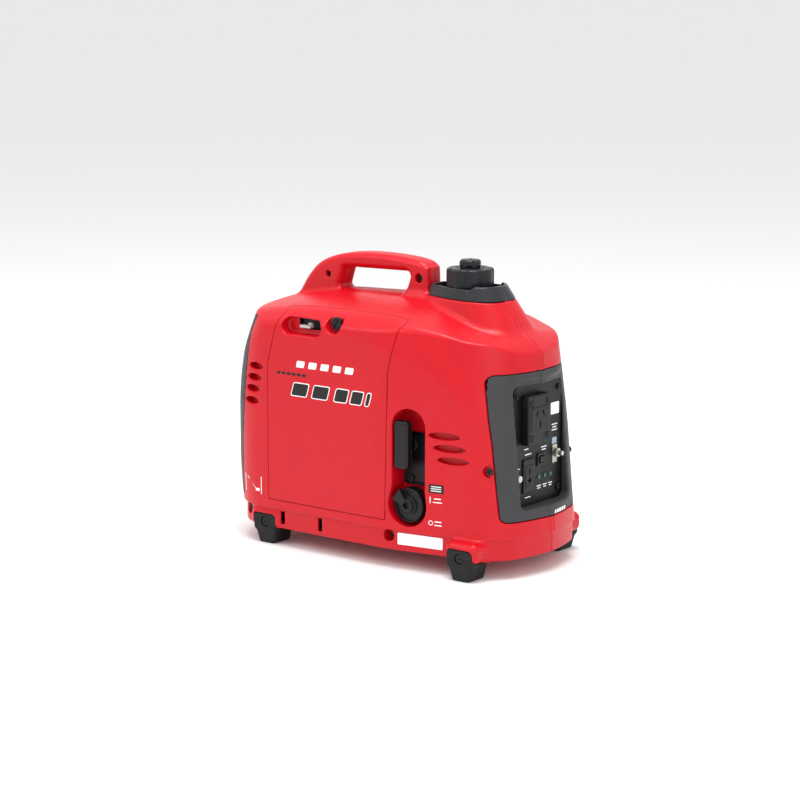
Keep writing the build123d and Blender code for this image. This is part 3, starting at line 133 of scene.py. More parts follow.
HOOD_BLEND = 6.0
HANDLE_HALF_W = 17.0
HANDLE_EDGE_R = 9.0
HANDLE_BLEND = 8.0
GRIP_GAP_R = 6.0
FOOT_XS = tuple(middle(*cad(f"foot_{end}_left"))[0] for end in ("rear", "front"))
FOOT_BACK_Y = 106.2
FOOT_Z = 40.0
FOOT_HALF_W = 19.0
BOLT_Z = 29.0
CASE_SCREWS = ((-183.0, 42.0, 103), (53.0, 42.0, 103), (187.0, 136.0, 84))   # x, z, seat y
HANDLE_SCREWS = ((-125.0, 347.0, 4.4), (24.0, 353.0, 6))                     # x, z, radius
HANDLE_SCREW_Y = 9.0
WELL_R = 7.6
WELL_WALL = 2.2
SKIRT_NOTCHES = (-121, -58)
POCKET_X, POCKET_R = 82.5, 22.8
POCKET_TOP_Z, POCKET_Y = 183.0, 90.0
VALVE_POCKET_R = 25.4
ROPE_HOLE_R = 9.3
GUIDE_PIN = (88, 196, 3)                     # x, z and radius of the hole over the grip
COVER_TOP_Y = 93.0
CHOKE_SLOT = (-85.0, 292.5, 33.0, 10.5)      # centre x, z and half sizes
CHOKE_WINDOW = (-100.0, -64.0, 288.5, 303.0)
CHOKE_FLOOR_Y = 104.0
DISH_R, DISH_Y = 12.3, 108.0
WINDOW_HALF_W, WINDOW_Z = 52.0, (84.0, 236.0)
COVER_OUTLINE = ((-141, 62), (50, 62), (54, 248), (68, 311), (68, 345), (-121, 345),
                 (-124, 302), (-141, 240))
BEZEL_ROUND = 9.0
BEZEL_OUTLINE = ((184, 244), (189, 212), (196, 167), (200, 129), (206, 80), (FAR, 75), (FAR, 246))
REAR_OUTLINE = ((-FAR, 60), (-193, 60), (-192, 130), (-182, 222), (-178, 278), (-170, 298),
                (-FAR, 298))
FRONT_LOUVRES = ((131, 176), (138, 161), (143, 146))
REAR_LOUVRES = ((-162, 235), (-165, 220), (-168, 205), (-170, 189))
LOUVRE_WALL = 2.4
GRILLE_Z, GRILLE_PITCH = 209, 13
EXHAUST_Y, EXHAUST_Z, EXHAUST_R = 35.0, 95.0, 17
NECK_HOLE_R = 27


# ================================================================ fields
def soft_max(a, b, k):
    """The larger of two fields, with the edge between them blended over k."""
    h = np.maximum(k - np.abs(a - b), 0)
    return np.maximum(a, b) + h * h / (4 * k)


def soft_min(a, b, k):
    """The smaller of two fields, blended in the same way."""
    return -soft_max(-a, -b, k)


def round_max(a, b, r):
    """Both shapes at once, with their edge rounded to radius r."""
    corner = np.hypot(np.maximum(a + r, 0), np.maximum(b + r, 0))
    return np.minimum(np.maximum(a, b), -r) + corner


def cut(shape, tool, r=0.8):
    """A shape less a tool, with the rim rounded."""
    return round_max(shape, -tool, r)


def polygon(u, v, points):
    """Flat distance to a closed outline."""
    least = np.full(u.shape, 1e9)
    inside = np.zeros(u.shape, bool)
    for (ax, ay), (bx, by) in zip(points, (*points[1:], points[0])):
        ex, ey = bx - ax, by - ay
        wu, wv = u - ax, v - ay
        t = np.clip((wu * ex + wv * ey) / (ex * ex + ey * ey), 0, 1)
        least = np.minimum(least, (wu - ex * t) ** 2 + (wv - ey * t) ** 2)
        if ey:
            inside ^= ((ay > v) != (by > v)) & (u < ex * (v - ay) / ey + ax)
    return np.where(inside, -1, 1) * np.sqrt(least)


def slab(u, low, high):
    """Distance along one axis to the stretch from low to high."""
    return np.abs(u - (low + high) / 2) - (high - low) / 2


def rect(u, v, half_u, half_v, r):
    """Flat distance to a centred rectangle with rounded corners."""
    du, dv = np.abs(u) - half_u + r, np.abs(v) - half_v + r
    return np.minimum(np.maximum(du, dv), 0) + np.hypot(np.maximum(du, 0), np.maximum(dv, 0)) - r


def brick(x, y, z, low, high, r=1.0):
    """A box with every edge rounded."""
    parts = [slab(u, a + r, b - r) for u, a, b in zip((x, y, z), low, high)]
    beyond = np.sqrt(sum(np.maximum(p, 0) ** 2 for p in parts))
    return beyond + np.minimum(np.maximum.reduce(parts), 0) - r


def disc(u, v, w, radius, low, high, r=1.0):
    """A round bar about w, between low and high, with rounded rims."""
    return round_max(np.hypot(u, v) - radius, slab(w, low, high), r)


def side_wall(x, ay, z):
    """The side of the case: straight, then tapering, leaning in beyond the crease."""
    front = FRONT_X - FRONT_LEAN * np.maximum(z - LIP_Z, 0) / (CROWN_Z - LIP_Z)
    run = front - FRONT_BULGE - TAPER_X
    drop = HALF_W - FRONT_HALF_W
    taper = ((ay - HALF_W) * run + (x - TAPER_X) * drop) / np.hypot(run, drop)
    wall = soft_max(ay - HALF_W, taper, TAPER_BLEND)
    beyond = np.hypot(x - ARC[0], z - ARC[1]) - ARC[2]
    leaning = (wall + ARC_LEAN * beyond) / math.hypot(1, ARC_LEAN)
    return soft_max(wall, leaning, ARC_BLEND), front


def roof(x, ay, z):
    """The top of the case under hood and handle."""
    height = ROOF_Z + 0 * x
    for level, slope, at, blend in ROOF_FALLS:
        height = soft_min(height, level + slope * (x - at), blend)
    fall = CAMBER * ay
    for drop, slope, at, blend in CAMBER_FALLS:
        fall = soft_max(fall, drop + slope * (ay - at), blend)
    return (z - height + fall) * 0.9


def hood_plan(x, ay, z):
    """Flat outline of the hood at each height: wide in front, drawn in towards the handle."""
    up = np.clip((z - HOOD_FOOT_Z) / (HOOD_Z - HOOD_FOOT_Z), -0.1, 1.5)
    draw, draw_x, draw_run = HOOD_DRAW
    crest = HOOD_HALF_W[1] - draw * (1 - np.clip((x - draw_x) / draw_run, 0, 1)) ** 2
    half = HOOD_HALF_W[0] + (crest - HOOD_HALF_W[0]) * up
    front = HOOD_FRONT[0] + (HOOD_FRONT[1] - HOOD_FRONT[0]) * up
    return round_max((ay - half) * 0.95, (x - front) * 0.85, HOOD_CORNER_R)


def hood(x, ay, z):
    """The raised middle that slopes down to the panel."""
    sides = hood_plan(x, ay, z)
    sides = round_max(sides, HOOD_REAR_X - x, HOOD_EDGE_R)
    sides = round_max(sides, HOOD_FOOT_Z - 6 - z, HOOD_EDGE_R)
    return round_max(sides, z - HOOD_Z, 2)


def body_form(x, y, z):
    """The whole case without its handle."""
    ay = np.abs(y)
    wall, front = side_wall(x, ay, z)
    nose = (x - front + FRONT_BULGE * (ay / FRONT_HALF_W) ** FRONT_CURVE) * 0.96
    lean = (np.maximum(z - REAR_LEAN_Z, 0) / REAR_LEAN_RUN) ** 2
    tuck = (np.clip(REAR_TUCK_Z - z, 0, REAR_TUCK_RUN) / REAR_TUCK_RUN) ** 2
    rear = REAR_X + REAR_LEAN * lean + REAR_TUCK * tuck
    plan = round_max(round_max(wall, nose, FRONT_CORNER_R), rear - x, REAR_CORNER_R)
    top = round_max(plan, roof(x, ay, z), ROOF_EDGE_R)
    top = soft_min(top, hood(x, ay, z), HOOD_BLEND)
    beside_spine = np.clip((ay - SPINE_HALF_W) / SPINE_EDGE, 0, 1)
    top = top + SPINE_HEIGHT * beside_spine * np.clip((x - SPINE_X) / SPINE_RUN, 0, 1)
    upper = round_max(top, LIP_Z - z, 1.5)
    skirt = round_max(np.maximum(plan + SKIRT_INSET, z - SKIRT_TOP_Z), BASE_Z - z, 3)
    return soft_min(upper, skirt, 1.5)


def smooth_line(points, steps=6):
    """Points on a smooth curve through a few given ones."""
    p = np.array(points, float)
    ends = np.vstack((2 * p[0] - p[1], p, 2 * p[-1] - p[-2]))
    line = []
    for a, b, c, d in zip(ends, ends[1:], ends[2:], ends[3:]):
        for t in np.arange(steps) / steps:
            curve = 2 * b + (c - a) * t + (2 * a - 5 * b + 4 * c - d) * t ** 2
            line.append((curve + (3 * b - a - 3 * c + d) * t ** 3) / 2)
    return [tuple(q) for q in (*line, p[-1])]


ARCH = smooth_line(((-190, 296), (-176, 322), (-160, 345), (-140, 362.5), (-108, 374),
                    (-68, HANDLE_TOP), (-18, HANDLE_TOP), (20, 375.5), (34, 369),
                    (37.5, 358), (38, 296)), 5)
GRIP_GAP = ((-107, 328), (-101, 358), (7, 360), (1, 331))


def handle(x, ay, z):
    """The carrying handle."""
    arch = polygon(x, z, ARCH)
    inward = ((1, 1), (1, -1), (-1, -1), (-1, 1))
    core = [(cx + GRIP_GAP_R * sx, cz + GRIP_GAP_R * sz)
            for (cx, cz), (sx, sz) in zip(GRIP_GAP, inward)]
    gap = polygon(x, z, core) - GRIP_GAP_R
    width = ay - HANDLE_HALF_W
    return round_max(round_max(arch, width, HANDLE_EDGE_R), -gap, HANDLE_EDGE_R)


def case_form(x, y, z):
    """The whole red form: body, skirt, hood, handle and the bulges over the feet."""
    form = body_form(x, y, z)
    ay = np.abs(y)
    high = z > 285
    if high.any():
        form[high] = soft_min(form[high], handle(x[high], ay[high], z[high]), HANDLE_BLEND)
    low = z < 70
    if low.any():
        lx, ly, lz = x[low], ay[low], z[low]
        for foot_x in FOOT_XS:
            bulge = brick(lx, ly, lz, (foot_x - 22, 60, BASE_Z), (foot_x + 25, 118, 49), 9)
            form[low] = soft_min(form[low], bulge, 8)
    return form


def keyhole(x, z):
    """Flat outline of the starter pocket."""
    along = np.clip(z, VALVE_Z, POCKET_TOP_Z)
    slot = np.hypot(x - POCKET_X, z - along) - POCKET_R
    return soft_min(slot, np.hypot(x - VALVE_X, z - VALVE_Z) - VALVE_POCKET_R, 8)


def lens(x, z, places, half_length):
    """Flat outline of a row of lens-shaped louvres."""
    shape = np.full(x.shape, 1e9)
    for cx, cz in places:
        u, v = (x - cx) / half_length, (z - cz) / 4.6
        shape = np.minimum(shape, (np.sqrt(u * u + v * v) - 1) * 4.4)
    return shape


def bezel_outline(x, z):
    """Side outline of the panel frame, its corners rounded."""
    return polygon(x, z, BEZEL_OUTLINE) - BEZEL_ROUND


def case_half(side):
    """Field of one half of the case, with its wells, louvres and pockets."""
    def field(x, y, z):
        out = y * side
        outer = case_form(x, y, z)
        body = body_form(x, y, z)
        louvre = np.minimum(lens(x, z, FRONT_LOUVRES, 21), lens(x, z, REAR_LOUVRES, 12.5))
        louvre = np.maximum(louvre, 60 - out)
        backing = -(body + LOUVRE_DEPTH + LOUVRE_WALL)
        hollow = np.maximum(body + WALL, -np.maximum(louvre - LOUVRE_WALL, backing))
        wells = []
        for wx, wz, seat in CASE_SCREWS:
            radius = np.hypot(x - wx, z - wz)
            hollow = np.maximum(hollow, -np.maximum(radius - WELL_R - WELL_WALL, seat - 2.5 - out))
            wells.append(np.maximum(radius - WELL_R, seat - out))
        pocket = None
        if side < 0:
            outline = keyhole(x, z)
            pocket = round_max(outline, POCKET_Y - out, 2)
            hollow = np.maximum(hollow, -np.maximum(outline - 2.5, POCKET_Y - 2.5 - out))
        shape = np.maximum(outer, -hollow)
        for well in wells:
            shape = cut(shape, well, 1.2)
        if side < 0:
            shape = cut(shape, pocket, 2.5)
            pin_x, pin_z, pin_r = GUIDE_PIN
            holes = np.minimum(np.hypot(x - ROPE_X, z - ROPE_Z) - ROPE_HOLE_R,
                               np.hypot(x - pin_x, z - pin_z) - pin_r)
            shape = cut(shape, np.maximum(holes, slab(out, 80, 96)), 0.4)
            for hx, hz, radius in HANDLE_SCREWS:
                hole = np.maximum(np.hypot(x - hx, z - hz) - radius, HANDLE_SCREW_Y - out)
                shape = cut(shape, hole, 0.8)
            door = np.maximum(polygon(x, z, COVER_OUTLINE) - SEAM, COVER_TOP_Y - SEAM - out)
            rebate = np.maximum(polygon(x, z, COVER_OUTLINE) + 6, COVER_TOP_Y + 6 - out)
            ledge = np.maximum(body + WALL + 0.6, -rebate)
            ledge = np.maximum(ledge, -(body + WALL + 2.6))
            ledge = np.maximum(ledge, np.maximum(door - 3, 50 - out))
            shape = np.minimum(cut(shape, door, 0.5), ledge)
        shape = cut(shape, np.maximum(louvre, -(body + LOUVRE_DEPTH)), 1.6)
        for foot_x in FOOT_XS:
            half = FOOT_HALF_W + 0.5
            notch = brick(x, out, z, (foot_x - half, FOOT_BACK_Y, -20),
                          (foot_x + half, 140, FOOT_Z + 0.6), 6)
            shape = cut(shape, notch, 1.2)
        for nx in SKIRT_NOTCHES:
            notch = np.maximum(np.maximum(slab(x, nx - 3.5, nx + 3.5), slab(z, 30, 47)), 113.5 - out)
            shape = cut(shape, notch, 0.8)
        shape = cut(shape, polygon(x, z, REAR_OUTLINE) - SEAM, 0.5)
        shape = cut(shape, bezel_outline(x, z) - SEAM, 0.5)
        neck = np.maximum(np.hypot(x - CAP_X, y) - NECK_HOLE_R, HOOD_Z - 20 - z)
        shape = np.maximum(shape, -neck)
        return round_max(shape, 0.12 - out, 0.5)
    return field


def door_field(x, y, z):
    """The maintenance cover, with its choke recess and screw dish."""
    cx, cz, half_l, half_h = CHOKE_SLOT
    recess = rect(x - cx, z - cz, half_l, half_h, half_h - 0.1)
    dish = np.hypot(x - DIAL_X, z - DIAL_Z) - DISH_R
    outer = case_form(x, y, z)
    hollow = body_form(x, y, z) + WALL
    hollow = np.maximum(hollow, -np.maximum(recess - 2, CHOKE_FLOOR_Y - 2 + y))
    hollow = np.maximum(hollow, -np.maximum(dish - 2, DISH_Y - 2 + y))
    shape = np.maximum(outer, -hollow)
    shape = cut(shape, round_max(recess, CHOKE_FLOOR_Y + y, 3), 2.5)
    shape = cut(shape, round_max(dish, DISH_Y + y, 1.5), 2.5)
    x0, x1, z0, z1 = CHOKE_WINDOW
    window = rect(x - (x0 + x1) / 2, z - (z0 + z1) / 2, (x1 - x0) / 2, (z1 - z0) / 2, 2)
    shape = cut(shape, np.maximum(window, 60 + y), 0.8)
    shape = np.maximum(shape, 3.4 - np.hypot(x - DIAL_X, z - DIAL_Z))
    region = np.maximum(polygon(x, z, COVER_OUTLINE) + SEAM, COVER_TOP_Y + SEAM + y)
    return round_max(shape, region, 0.7)


def rear_field(x, y, z):
    """The rear cover with its grille and exhaust opening."""
    shape = np.maximum(body_form(x, y, z), -(body_form(x, y, z) + 3.2))
    half = GRILLE_PITCH / 2
    row = np.clip(np.round((z - GRILLE_Z - half) / GRILLE_PITCH), -5, 4)
    slots = rect(y, z - GRILLE_Z - GRILLE_PITCH * row - half, 60, 2.75, 2.6)
    shape = cut(shape, np.maximum(slots, x + 190), 1.2)
    pipe = np.hypot(y - EXHAUST_Y, z - EXHAUST_Z) - EXHAUST_R
    shape = cut(shape, np.maximum(pipe, x + 190), 1.5)
    return round_max(shape, polygon(x, z, REAR_OUTLINE) + SEAM, 1.2)


def bezel_field(x, y, z):
    """The dark frame around the control panel."""
    base = body_form(x, y, z)
    mid_z, half_z = sum(WINDOW_Z) / 2, (WINDOW_Z[1] - WINDOW_Z[0]) / 2
    window = rect(y, z - mid_z, WINDOW_HALF_W, half_z, 9)
    hollow = np.maximum(base + 3, -np.maximum(window - 3, PANEL_X - x))
    shape = np.maximum(base, -hollow)
    shape = round_max(shape, bezel_outline(x, z) + SEAM, 2)
    return cut(shape, np.maximum(window, 150 - x), 3)


def collar_field(x, y, z):
    """The dark tray around the fuel cap, with its front rim raised."""
    ay = np.abs(y)
    outline = round_max(hood_plan(x, ay, z) + 0.6, 39.5 - x, 4)
    top = 348 + 3.6 * np.clip((x - 117) / 5, 0, 1)
    shape = round_max(outline, np.maximum(z - top, COLLAR_LOW[2] - z), 1.2)
    shape = cut(shape, round_max(outline + 3, COLLAR_LOW[2] + 4 - z, 4), 1)
    return np.maximum(shape, 24.9 - np.hypot(x - CAP_X, y))


def cap_field(x, y, z):
    """The fuel cap with eight broad lobes."""
    u, v = x - CAP_X, y
    radius = np.hypot(u, v)
    full = (CAP_HIGH[0] - CAP_LOW[0]) / 2
    turn = np.mod(np.arctan2(v, u), math.pi / 4) - math.pi / 8
    flute = np.hypot(radius * np.cos(turn) - full - 5.5, radius * np.sin(turn)) - 7.4
    rim = round_max(radius - full, -flute, 2)
    shape = round_max(rim, slab(z, CAP_LOW[2], CAP_HIGH[2]), 3.5)
    crown = np.maximum(np.abs(radius - 17) - 1.2, CAP_HIGH[2] - 0.8 - z)
    shape = cut(shape, crown, 0.5)
    inside = np.maximum(radius - 24.1, z - CAP_HIGH[2] + 14)
    return np.maximum(shape, -inside)


def knob_field(x, y, z):
    """The domed vent knob on the cap, softly fluted."""
    u, v = x - CAP_X, y
    radius = np.hypot(u, v)
    full = (KNOB_HIGH[0] - KNOB_LOW[0]) / 2
    low = CAP_HIGH[2] + 0.2
    turn = np.mod(np.arctan2(v, u), math.pi / 3) - math.pi / 6
    flute = np.hypot(radius * np.cos(turn) - full - 7, radius * np.sin(turn)) - 8
    top = round_max(round_max(radius - full, -flute, 1.5), slab(z, low, KNOB_HIGH[2] - 0.6), 4)
    skirt = round_max(radius - full + 0.8, slab(z, low, low + 3), 1)
    pip = round_max(radius - 2, slab(z, low, KNOB_HIGH[2]), 0.5)
    return np.minimum(soft_min(skirt, top, 1), pip)


def grip_field(x, y, z):
    """The pull-starter grip: a soft-edged bar with a thumb hollow."""
    low, high = GRIP_LOW, GRIP_HIGH
    shape = brick(x, y, z, low, high, 5)
    mid_z = (low[2] + high[2]) / 2
    hollow = np.hypot(y - low[1] + 60, (z - mid_z) * 0.35) - 60.9
    shape = cut(shape, hollow, 3)
    groove = np.maximum(np.abs(y - high[1] + 4.5) - 0.45, -(shape + 0.7))
    return np.maximum(shape, -groove)


def valve_field(x, y, z):
    """The fuel valve knob: a dished disc with a raised pointer and finger ribs."""
    u, v, out = x - VALVE_X, z - VALVE_Z, -y
    face = -VALVE_LOW[1]
    radius = np.hypot(u, v)
    full = (VALVE_HIGH[0] - VALVE_LOW[0]) / 2
    shape = round_max(radius - full, slab(out, 94, face - 6), 2)
    shape = cut(shape, np.maximum(np.abs(radius - 15.5) - 3.8, face - 8.5 - out), 1)
    hub = round_max(radius - 8.5, slab(out, 94, face - 2), 1.5)
    angle = math.radians(140)
    along, across = u * math.cos(angle) + v * math.sin(angle), v * math.cos(angle) - u * math.sin(angle)
    pointer = round_max(slab(along, -6, full - 0.6), np.abs(across) - 3.5 - 0.26 * along, 2)
    pointer = round_max(pointer, slab(out, 94, face), 1.5)
    ribs = np.full(x.shape, 1e9)
    for rib in (12.5, 16, 19.5):
        ribs = np.minimum(ribs, np.abs(radius - rib) - 0.6)
    shape = soft_min(soft_min(shape, hub, 1.5), pointer, 1)
    shape = cut(shape, np.maximum(np.maximum(ribs, face - 0.9 - out), pointer + 1.2), 0.3)
    return cut(shape, np.maximum(radius - 4.2, face - 5 - out), 0.6)


def guide_field(x, y, z):
    """The black plate on the pocket floor, with the eyelet that the rope runs through."""
    out = -y
    low, high = GUIDE_LOW, GUIDE_HIGH
    flat = rect(x - (low[0] + high[0]) / 2, z - 140, (high[0] - low[0]) / 2 - 0.3, 33.7, 4)
    shape = round_max(flat, slab(out, 90.1, 92.8), 0.8)
    radius = np.hypot(x - ROPE_X, z - ROPE_Z)
    eyelet = round_max(radius - 8.8, slab(out, 88.2, 94.8), 1.6)
    shape = soft_min(shape, eyelet, 1)
    shape = cut(shape, radius - 2.6, 1.4)
    rim = np.maximum(np.abs(flat + 3.2) - 0.5, 92.3 - out)
    return np.maximum(shape, -rim)


def foot_field(foot_x, side):
    """A rubber foot that tapers to the ground, with its bolt well."""
    def field(x, y, z):
        u, out = x - foot_x, y * side
        draw = np.clip(1 - z / 23.2, 0, 1) * 5.5
        low = rect(u, out - 97.5, FOOT_HALF_W - draw, 19.8 - draw * 0.4, 6)
        low = round_max(low * 0.97, slab(z, 0, BASE_Z - 0.3), 2.5)
        high = rect(u, z - 28, FOOT_HALF_W, 12, 6)
        high = round_max(high, slab(out, 106.5, 117.4), 2)
        shape = soft_min(low, high, 2)
        tread = np.maximum(np.abs(np.mod(u + 3.5, 7) - 3.5) - 0.8, z - 1.1)
        shape = np.maximum(shape, -tread)
        radius = np.hypot(u, z - BOLT_Z)
        return cut(shape, np.minimum(np.maximum(radius - 6.4, 112 - out), radius - 2.9), 0.8)
    return field


def ac_field(x, y, z):
    """The mains outlet: a deep face with three flat slots and four corner screws."""
    low, high = AC_LOW, AC_HIGH
    mid_y, mid_z = (low[1] + high[1]) / 2, (low[2] + high[2]) / 2
    shape = brick(x, y, z, (PANEL_X, low[1], low[2]), (high[0] - 1, high[1], high[2]), 2)
    shape = np.minimum(shape, brick(x, y, z, (low[0], low[1] + 3, low[2] + 3),
                                    (PANEL_X + 2, high[1] - 3, high[2] - 3), 1))
    raised = rect(y - mid_y, z - mid_z, 19, 16, 5)
    shape = soft_min(shape, round_max(raised, slab(x, PANEL_X, high[0]), 0.8), 0.8)
    for side in (-1, 1):
        u, v = y - mid_y - side * 6.4, z - 201
        lean = math.radians(30) * side
        across, along = u * math.cos(lean) + v * math.sin(lean), v * math.cos(lean) - u * math.sin(lean)
        shape = np.maximum(shape, -np.maximum(rect(across, along, 1.1, 3.9, 0.3), high[0] - 13 - x))
        for screw_z in (mid_z - 21.5, mid_z + 21.5):
            sy, sz = y - mid_y - side * 17, z - screw_z
            head = round_max(np.hypot(sy, sz) - 3.4, slab(x, high[0] - 3, high[0] - 0.2), 0.4)
            cross = np.minimum(rect(sy, sz, 2.3, 0.45, 0.1), rect(sy, sz, 0.45, 2.3, 0.1))
            ring = np.maximum(np.abs(np.hypot(sy, sz) - 4.2) - 0.5, high[0] - 1.8 - x)
            shape = np.minimum(np.maximum(shape, -ring), head)
            shape = np.maximum(shape, -np.maximum(cross, high[0] - 1.2 - x))
    earth = rect(y - mid_y, z - 187, 1.1, 4.2, 0.3)
    return np.maximum(shape, -np.maximum(earth, high[0] - 13 - x))


def dc_field(x, y, z):
    """The low-voltage outlet: a flange around two flat slots, one of them a T."""
    low, high = DC_LOW, DC_HIGH
    mid_y, mid_z = (low[1] + high[1]) / 2, (low[2] + high[2]) / 2
    shape = brick(x, y, z, (PANEL_X, low[1], low[2]), (high[0] - 0.8, high[1], high[2]), 1)
    shape = np.minimum(shape, brick(x, y, z, (low[0], low[1] + 3, low[2] + 3),
                                    (PANEL_X + 1, high[1] - 3, high[2] - 3), 1))
    body = rect(y - mid_y, z - mid_z, 8.5, 13.5, 3)
    shape = soft_min(shape, round_max(body, slab(x, PANEL_X, high[0]), 0.6), 0.5)
    slots = np.minimum(rect(y - mid_y, z - 127, 1.1, 4, 0.2), rect(y - mid_y, z - 116, 4, 1.1, 0.2))
    slots = np.minimum(slots, rect(y - mid_y, z - 116, 1.1, 4, 0.2))
    return np.maximum(shape, -np.maximum(slots, high[0] - 12 - x))


def dial_field(x, y, z):
    """The slotted screw of the maintenance cover."""
    u, v, out = x - DIAL_X, z - DIAL_Z, -y
    face = -DIAL_LOW[1]
    radius = np.hypot(u, v)
    shape = round_max(radius - 8.4, slab(out, face - 4.6, face - 0.1), 1.2)
    shape = np.minimum(shape, np.maximum(radius - 3, slab(out, -DIAL_HIGH[1], face - 3)))
    lean = math.radians(60)
    across = v * math.cos(lean) - u * math.sin(lean)
    return cut(shape, np.maximum(np.abs(across) - 0.5, face - 1.6 - out), 0.3)


def slider_field(x, y, z):
    """The dark plate of the choke slider, ribbed beside its tab."""
    low, high = LEVER_LOW, LEVER_HIGH
    shape = brick(x, y, z, (low[0], high[1] - 2, low[2]), high, 0.6)
    for rib in (-77, -74, -71, -68):
        bar_low, bar_high = (rib - 1, high[1] - 4, 289.5), (rib + 1, high[1] - 1, 302)
        shape = np.minimum(shape, brick(x, y, z, bar_low, bar_high, 0.6))
    return shape


def tab_field(x, y, z):
    """The pale finger tab of the choke slider."""
    low, high = LEVER_LOW, LEVER_HIGH
    tab = brick(x, y, z, (-97, low[1] + 0.2, 289.6), (-79.5, high[1] - 2.2, 293.6), 1.4)
    return np.minimum(tab, brick(x, y, z, (-86, low[1] + 4, 289.6), (-80, high[1] - 2.2, 297), 1.4))


# ================================================================ fields into meshes
BLOCK = 8


def sample(field, low, high, step):
    """Grid values of a field; only blocks near the surface are worked out in full."""
    size = BLOCK * step
    blocks = np.ceil((high - low) / size).astype(int)
    centres = [low[i] + size * (np.arange(blocks[i]) + 0.5) for i in range(3)]
    cx, cy, cz = (c.ravel() for c in np.meshgrid(*centres, indexing="ij"))
    rough = field(cx, cy, cz).reshape(blocks)
    values = rough.astype(np.float32)
    for axis in range(3):
        values = np.repeat(values, BLOCK, axis)
    values = np.pad(values, (0, 1), mode="edge")
    near = np.argwhere(np.abs(rough) < size * 1.05)
    steps = np.arange(BLOCK + 1)
    for chunk in np.array_split(near, max(1, len(near) // 300)):
        shape = (len(chunk), BLOCK + 1, BLOCK + 1, BLOCK + 1)
        i = np.broadcast_to(chunk[:, 0, None, None, None] * BLOCK + steps[:, None, None], shape)
        j = np.broadcast_to(chunk[:, 1, None, None, None] * BLOCK + steps[None, :, None], shape)
        k = np.broadcast_to(chunk[:, 2, None, None, None] * BLOCK + steps[None, None, :], shape)
        i, j, k = i.ravel(), j.ravel(), k.ravel()
        values[i, j, k] = field(low[0] + i * step, low[1] + j * step, low[2] + k * step)
    return values


def gradient(field, p, reach=0.08):
    """Unit direction in which a field grows."""
    parts = []
    for axis in range(3):
        shift = np.zeros(3)
        shift[axis] = reach
        parts.append(field(*(p + shift).T) - field(*(p - shift).T))
    g = np.stack(parts, 1)
    return g / np.maximum(np.linalg.norm(g, axis=1, keepdims=True), 1e-9)


def contour(field, low, high, step):
    """Dual contouring: one vertex in each cell that the surface passes, where its slopes meet."""
    values = sample(field, low, high, step)
    inside = values < 0
    cells = tuple(n - 1 for n in values.shape)
    some, every = np.zeros(cells, bool), np.ones(cells, bool)
    for corner in itertools.product((0, 1), repeat=3):
        part = inside[tuple(slice(c, n + c) for c, n in zip(corner, cells))]
        some |= part
        every &= part
    active = some & ~every
    ids = np.full(cells, -1, np.int32)
    count = int(active.sum())
    ids[active] = np.arange(count)
    total, square = np.zeros((count, 3)), np.zeros((count, 3, 3))
    right, hits = np.zeros((count, 3)), np.zeros(count)
    faces = []
    for axis in range(3):
        ahead = tuple(slice(1, None) if a == axis else slice(None) for a in range(3))
        behind = tuple(slice(None, -1) if a == axis else slice(None) for a in range(3))
        start = np.argwhere(inside[behind] != inside[ahead])
        u, w = (axis + 1) % 3, (axis + 2) % 3
        keep = (start[:, u] > 0) & (start[:, w] > 0)
        keep &= (start[:, u] < cells[u]) & (start[:, w] < cells[w])
        start = start[keep]
        end = start.copy()
        end[:, axis] += 1
        v0, v1 = values[tuple(start.T)], values[tuple(end.T)]
        point = start.astype(float)
        point[:, axis] += v0 / (v0 - v1)
        point = low + point * step
        normal = gradient(field, point)
        around = []
        for du, dw in ((0, 0), (-1, 0), (-1, -1), (0, -1)):
            cell = start.copy()
            cell[:, u] += du
            cell[:, w] += dw
            around.append(ids[tuple(cell.T)])
        level = np.sum(normal * point, 1)
        for cell in around:
            hits += np.bincount(cell, minlength=count)
            for a in range(3):
                total[:, a] += np.bincount(cell, point[:, a], count)
                right[:, a] += np.bincount(cell, normal[:, a] * level, count)
                for b in range(a, 3):
                    square[:, a, b] += np.bincount(cell, normal[:, a] * normal[:, b], count)
        quad = np.stack(around, 1)
        flip = v0 > 0
        quad[flip] = quad[flip][:, ::-1]
        faces.append(quad)
    for a, b in ((1, 0), (2, 0), (2, 1)):
        square[:, a, b] = square[:, b, a]
    mean = total / hits[:, None]
    pull = right - np.einsum("nij,nj->ni", square, mean)
    shift = np.linalg.solve(square + 0.03 * np.eye(3), pull[:, :, None])[:, :, 0]
    corner = low + np.argwhere(active) * step
    verts = np.clip(mean + shift, corner - 0.1 * step, corner + 1.1 * step)
    return verts, np.concatenate(faces)


def mesh_from(name, verts, faces):
    """A Blender mesh from arrays of points in millimetres and of equal-sided faces."""
    mesh = bpy.data.meshes.new(name)
    sides = faces.shape[1]
    mesh.vertices.add(len(verts))
    mesh.vertices.foreach_set("co", (verts * MM).astype(np.float32).ravel())
    mesh.loops.add(faces.size)
    mesh.loops.foreach_set("vertex_index", faces.astype(np.int32).ravel())
    mesh.polygons.add(len(faces))
    mesh.polygons.foreach_set("loop_start", np.arange(0, faces.size, sides, dtype=np.int32))
    mesh.update(calc_edges=True)
    mesh.validate()
    return mesh


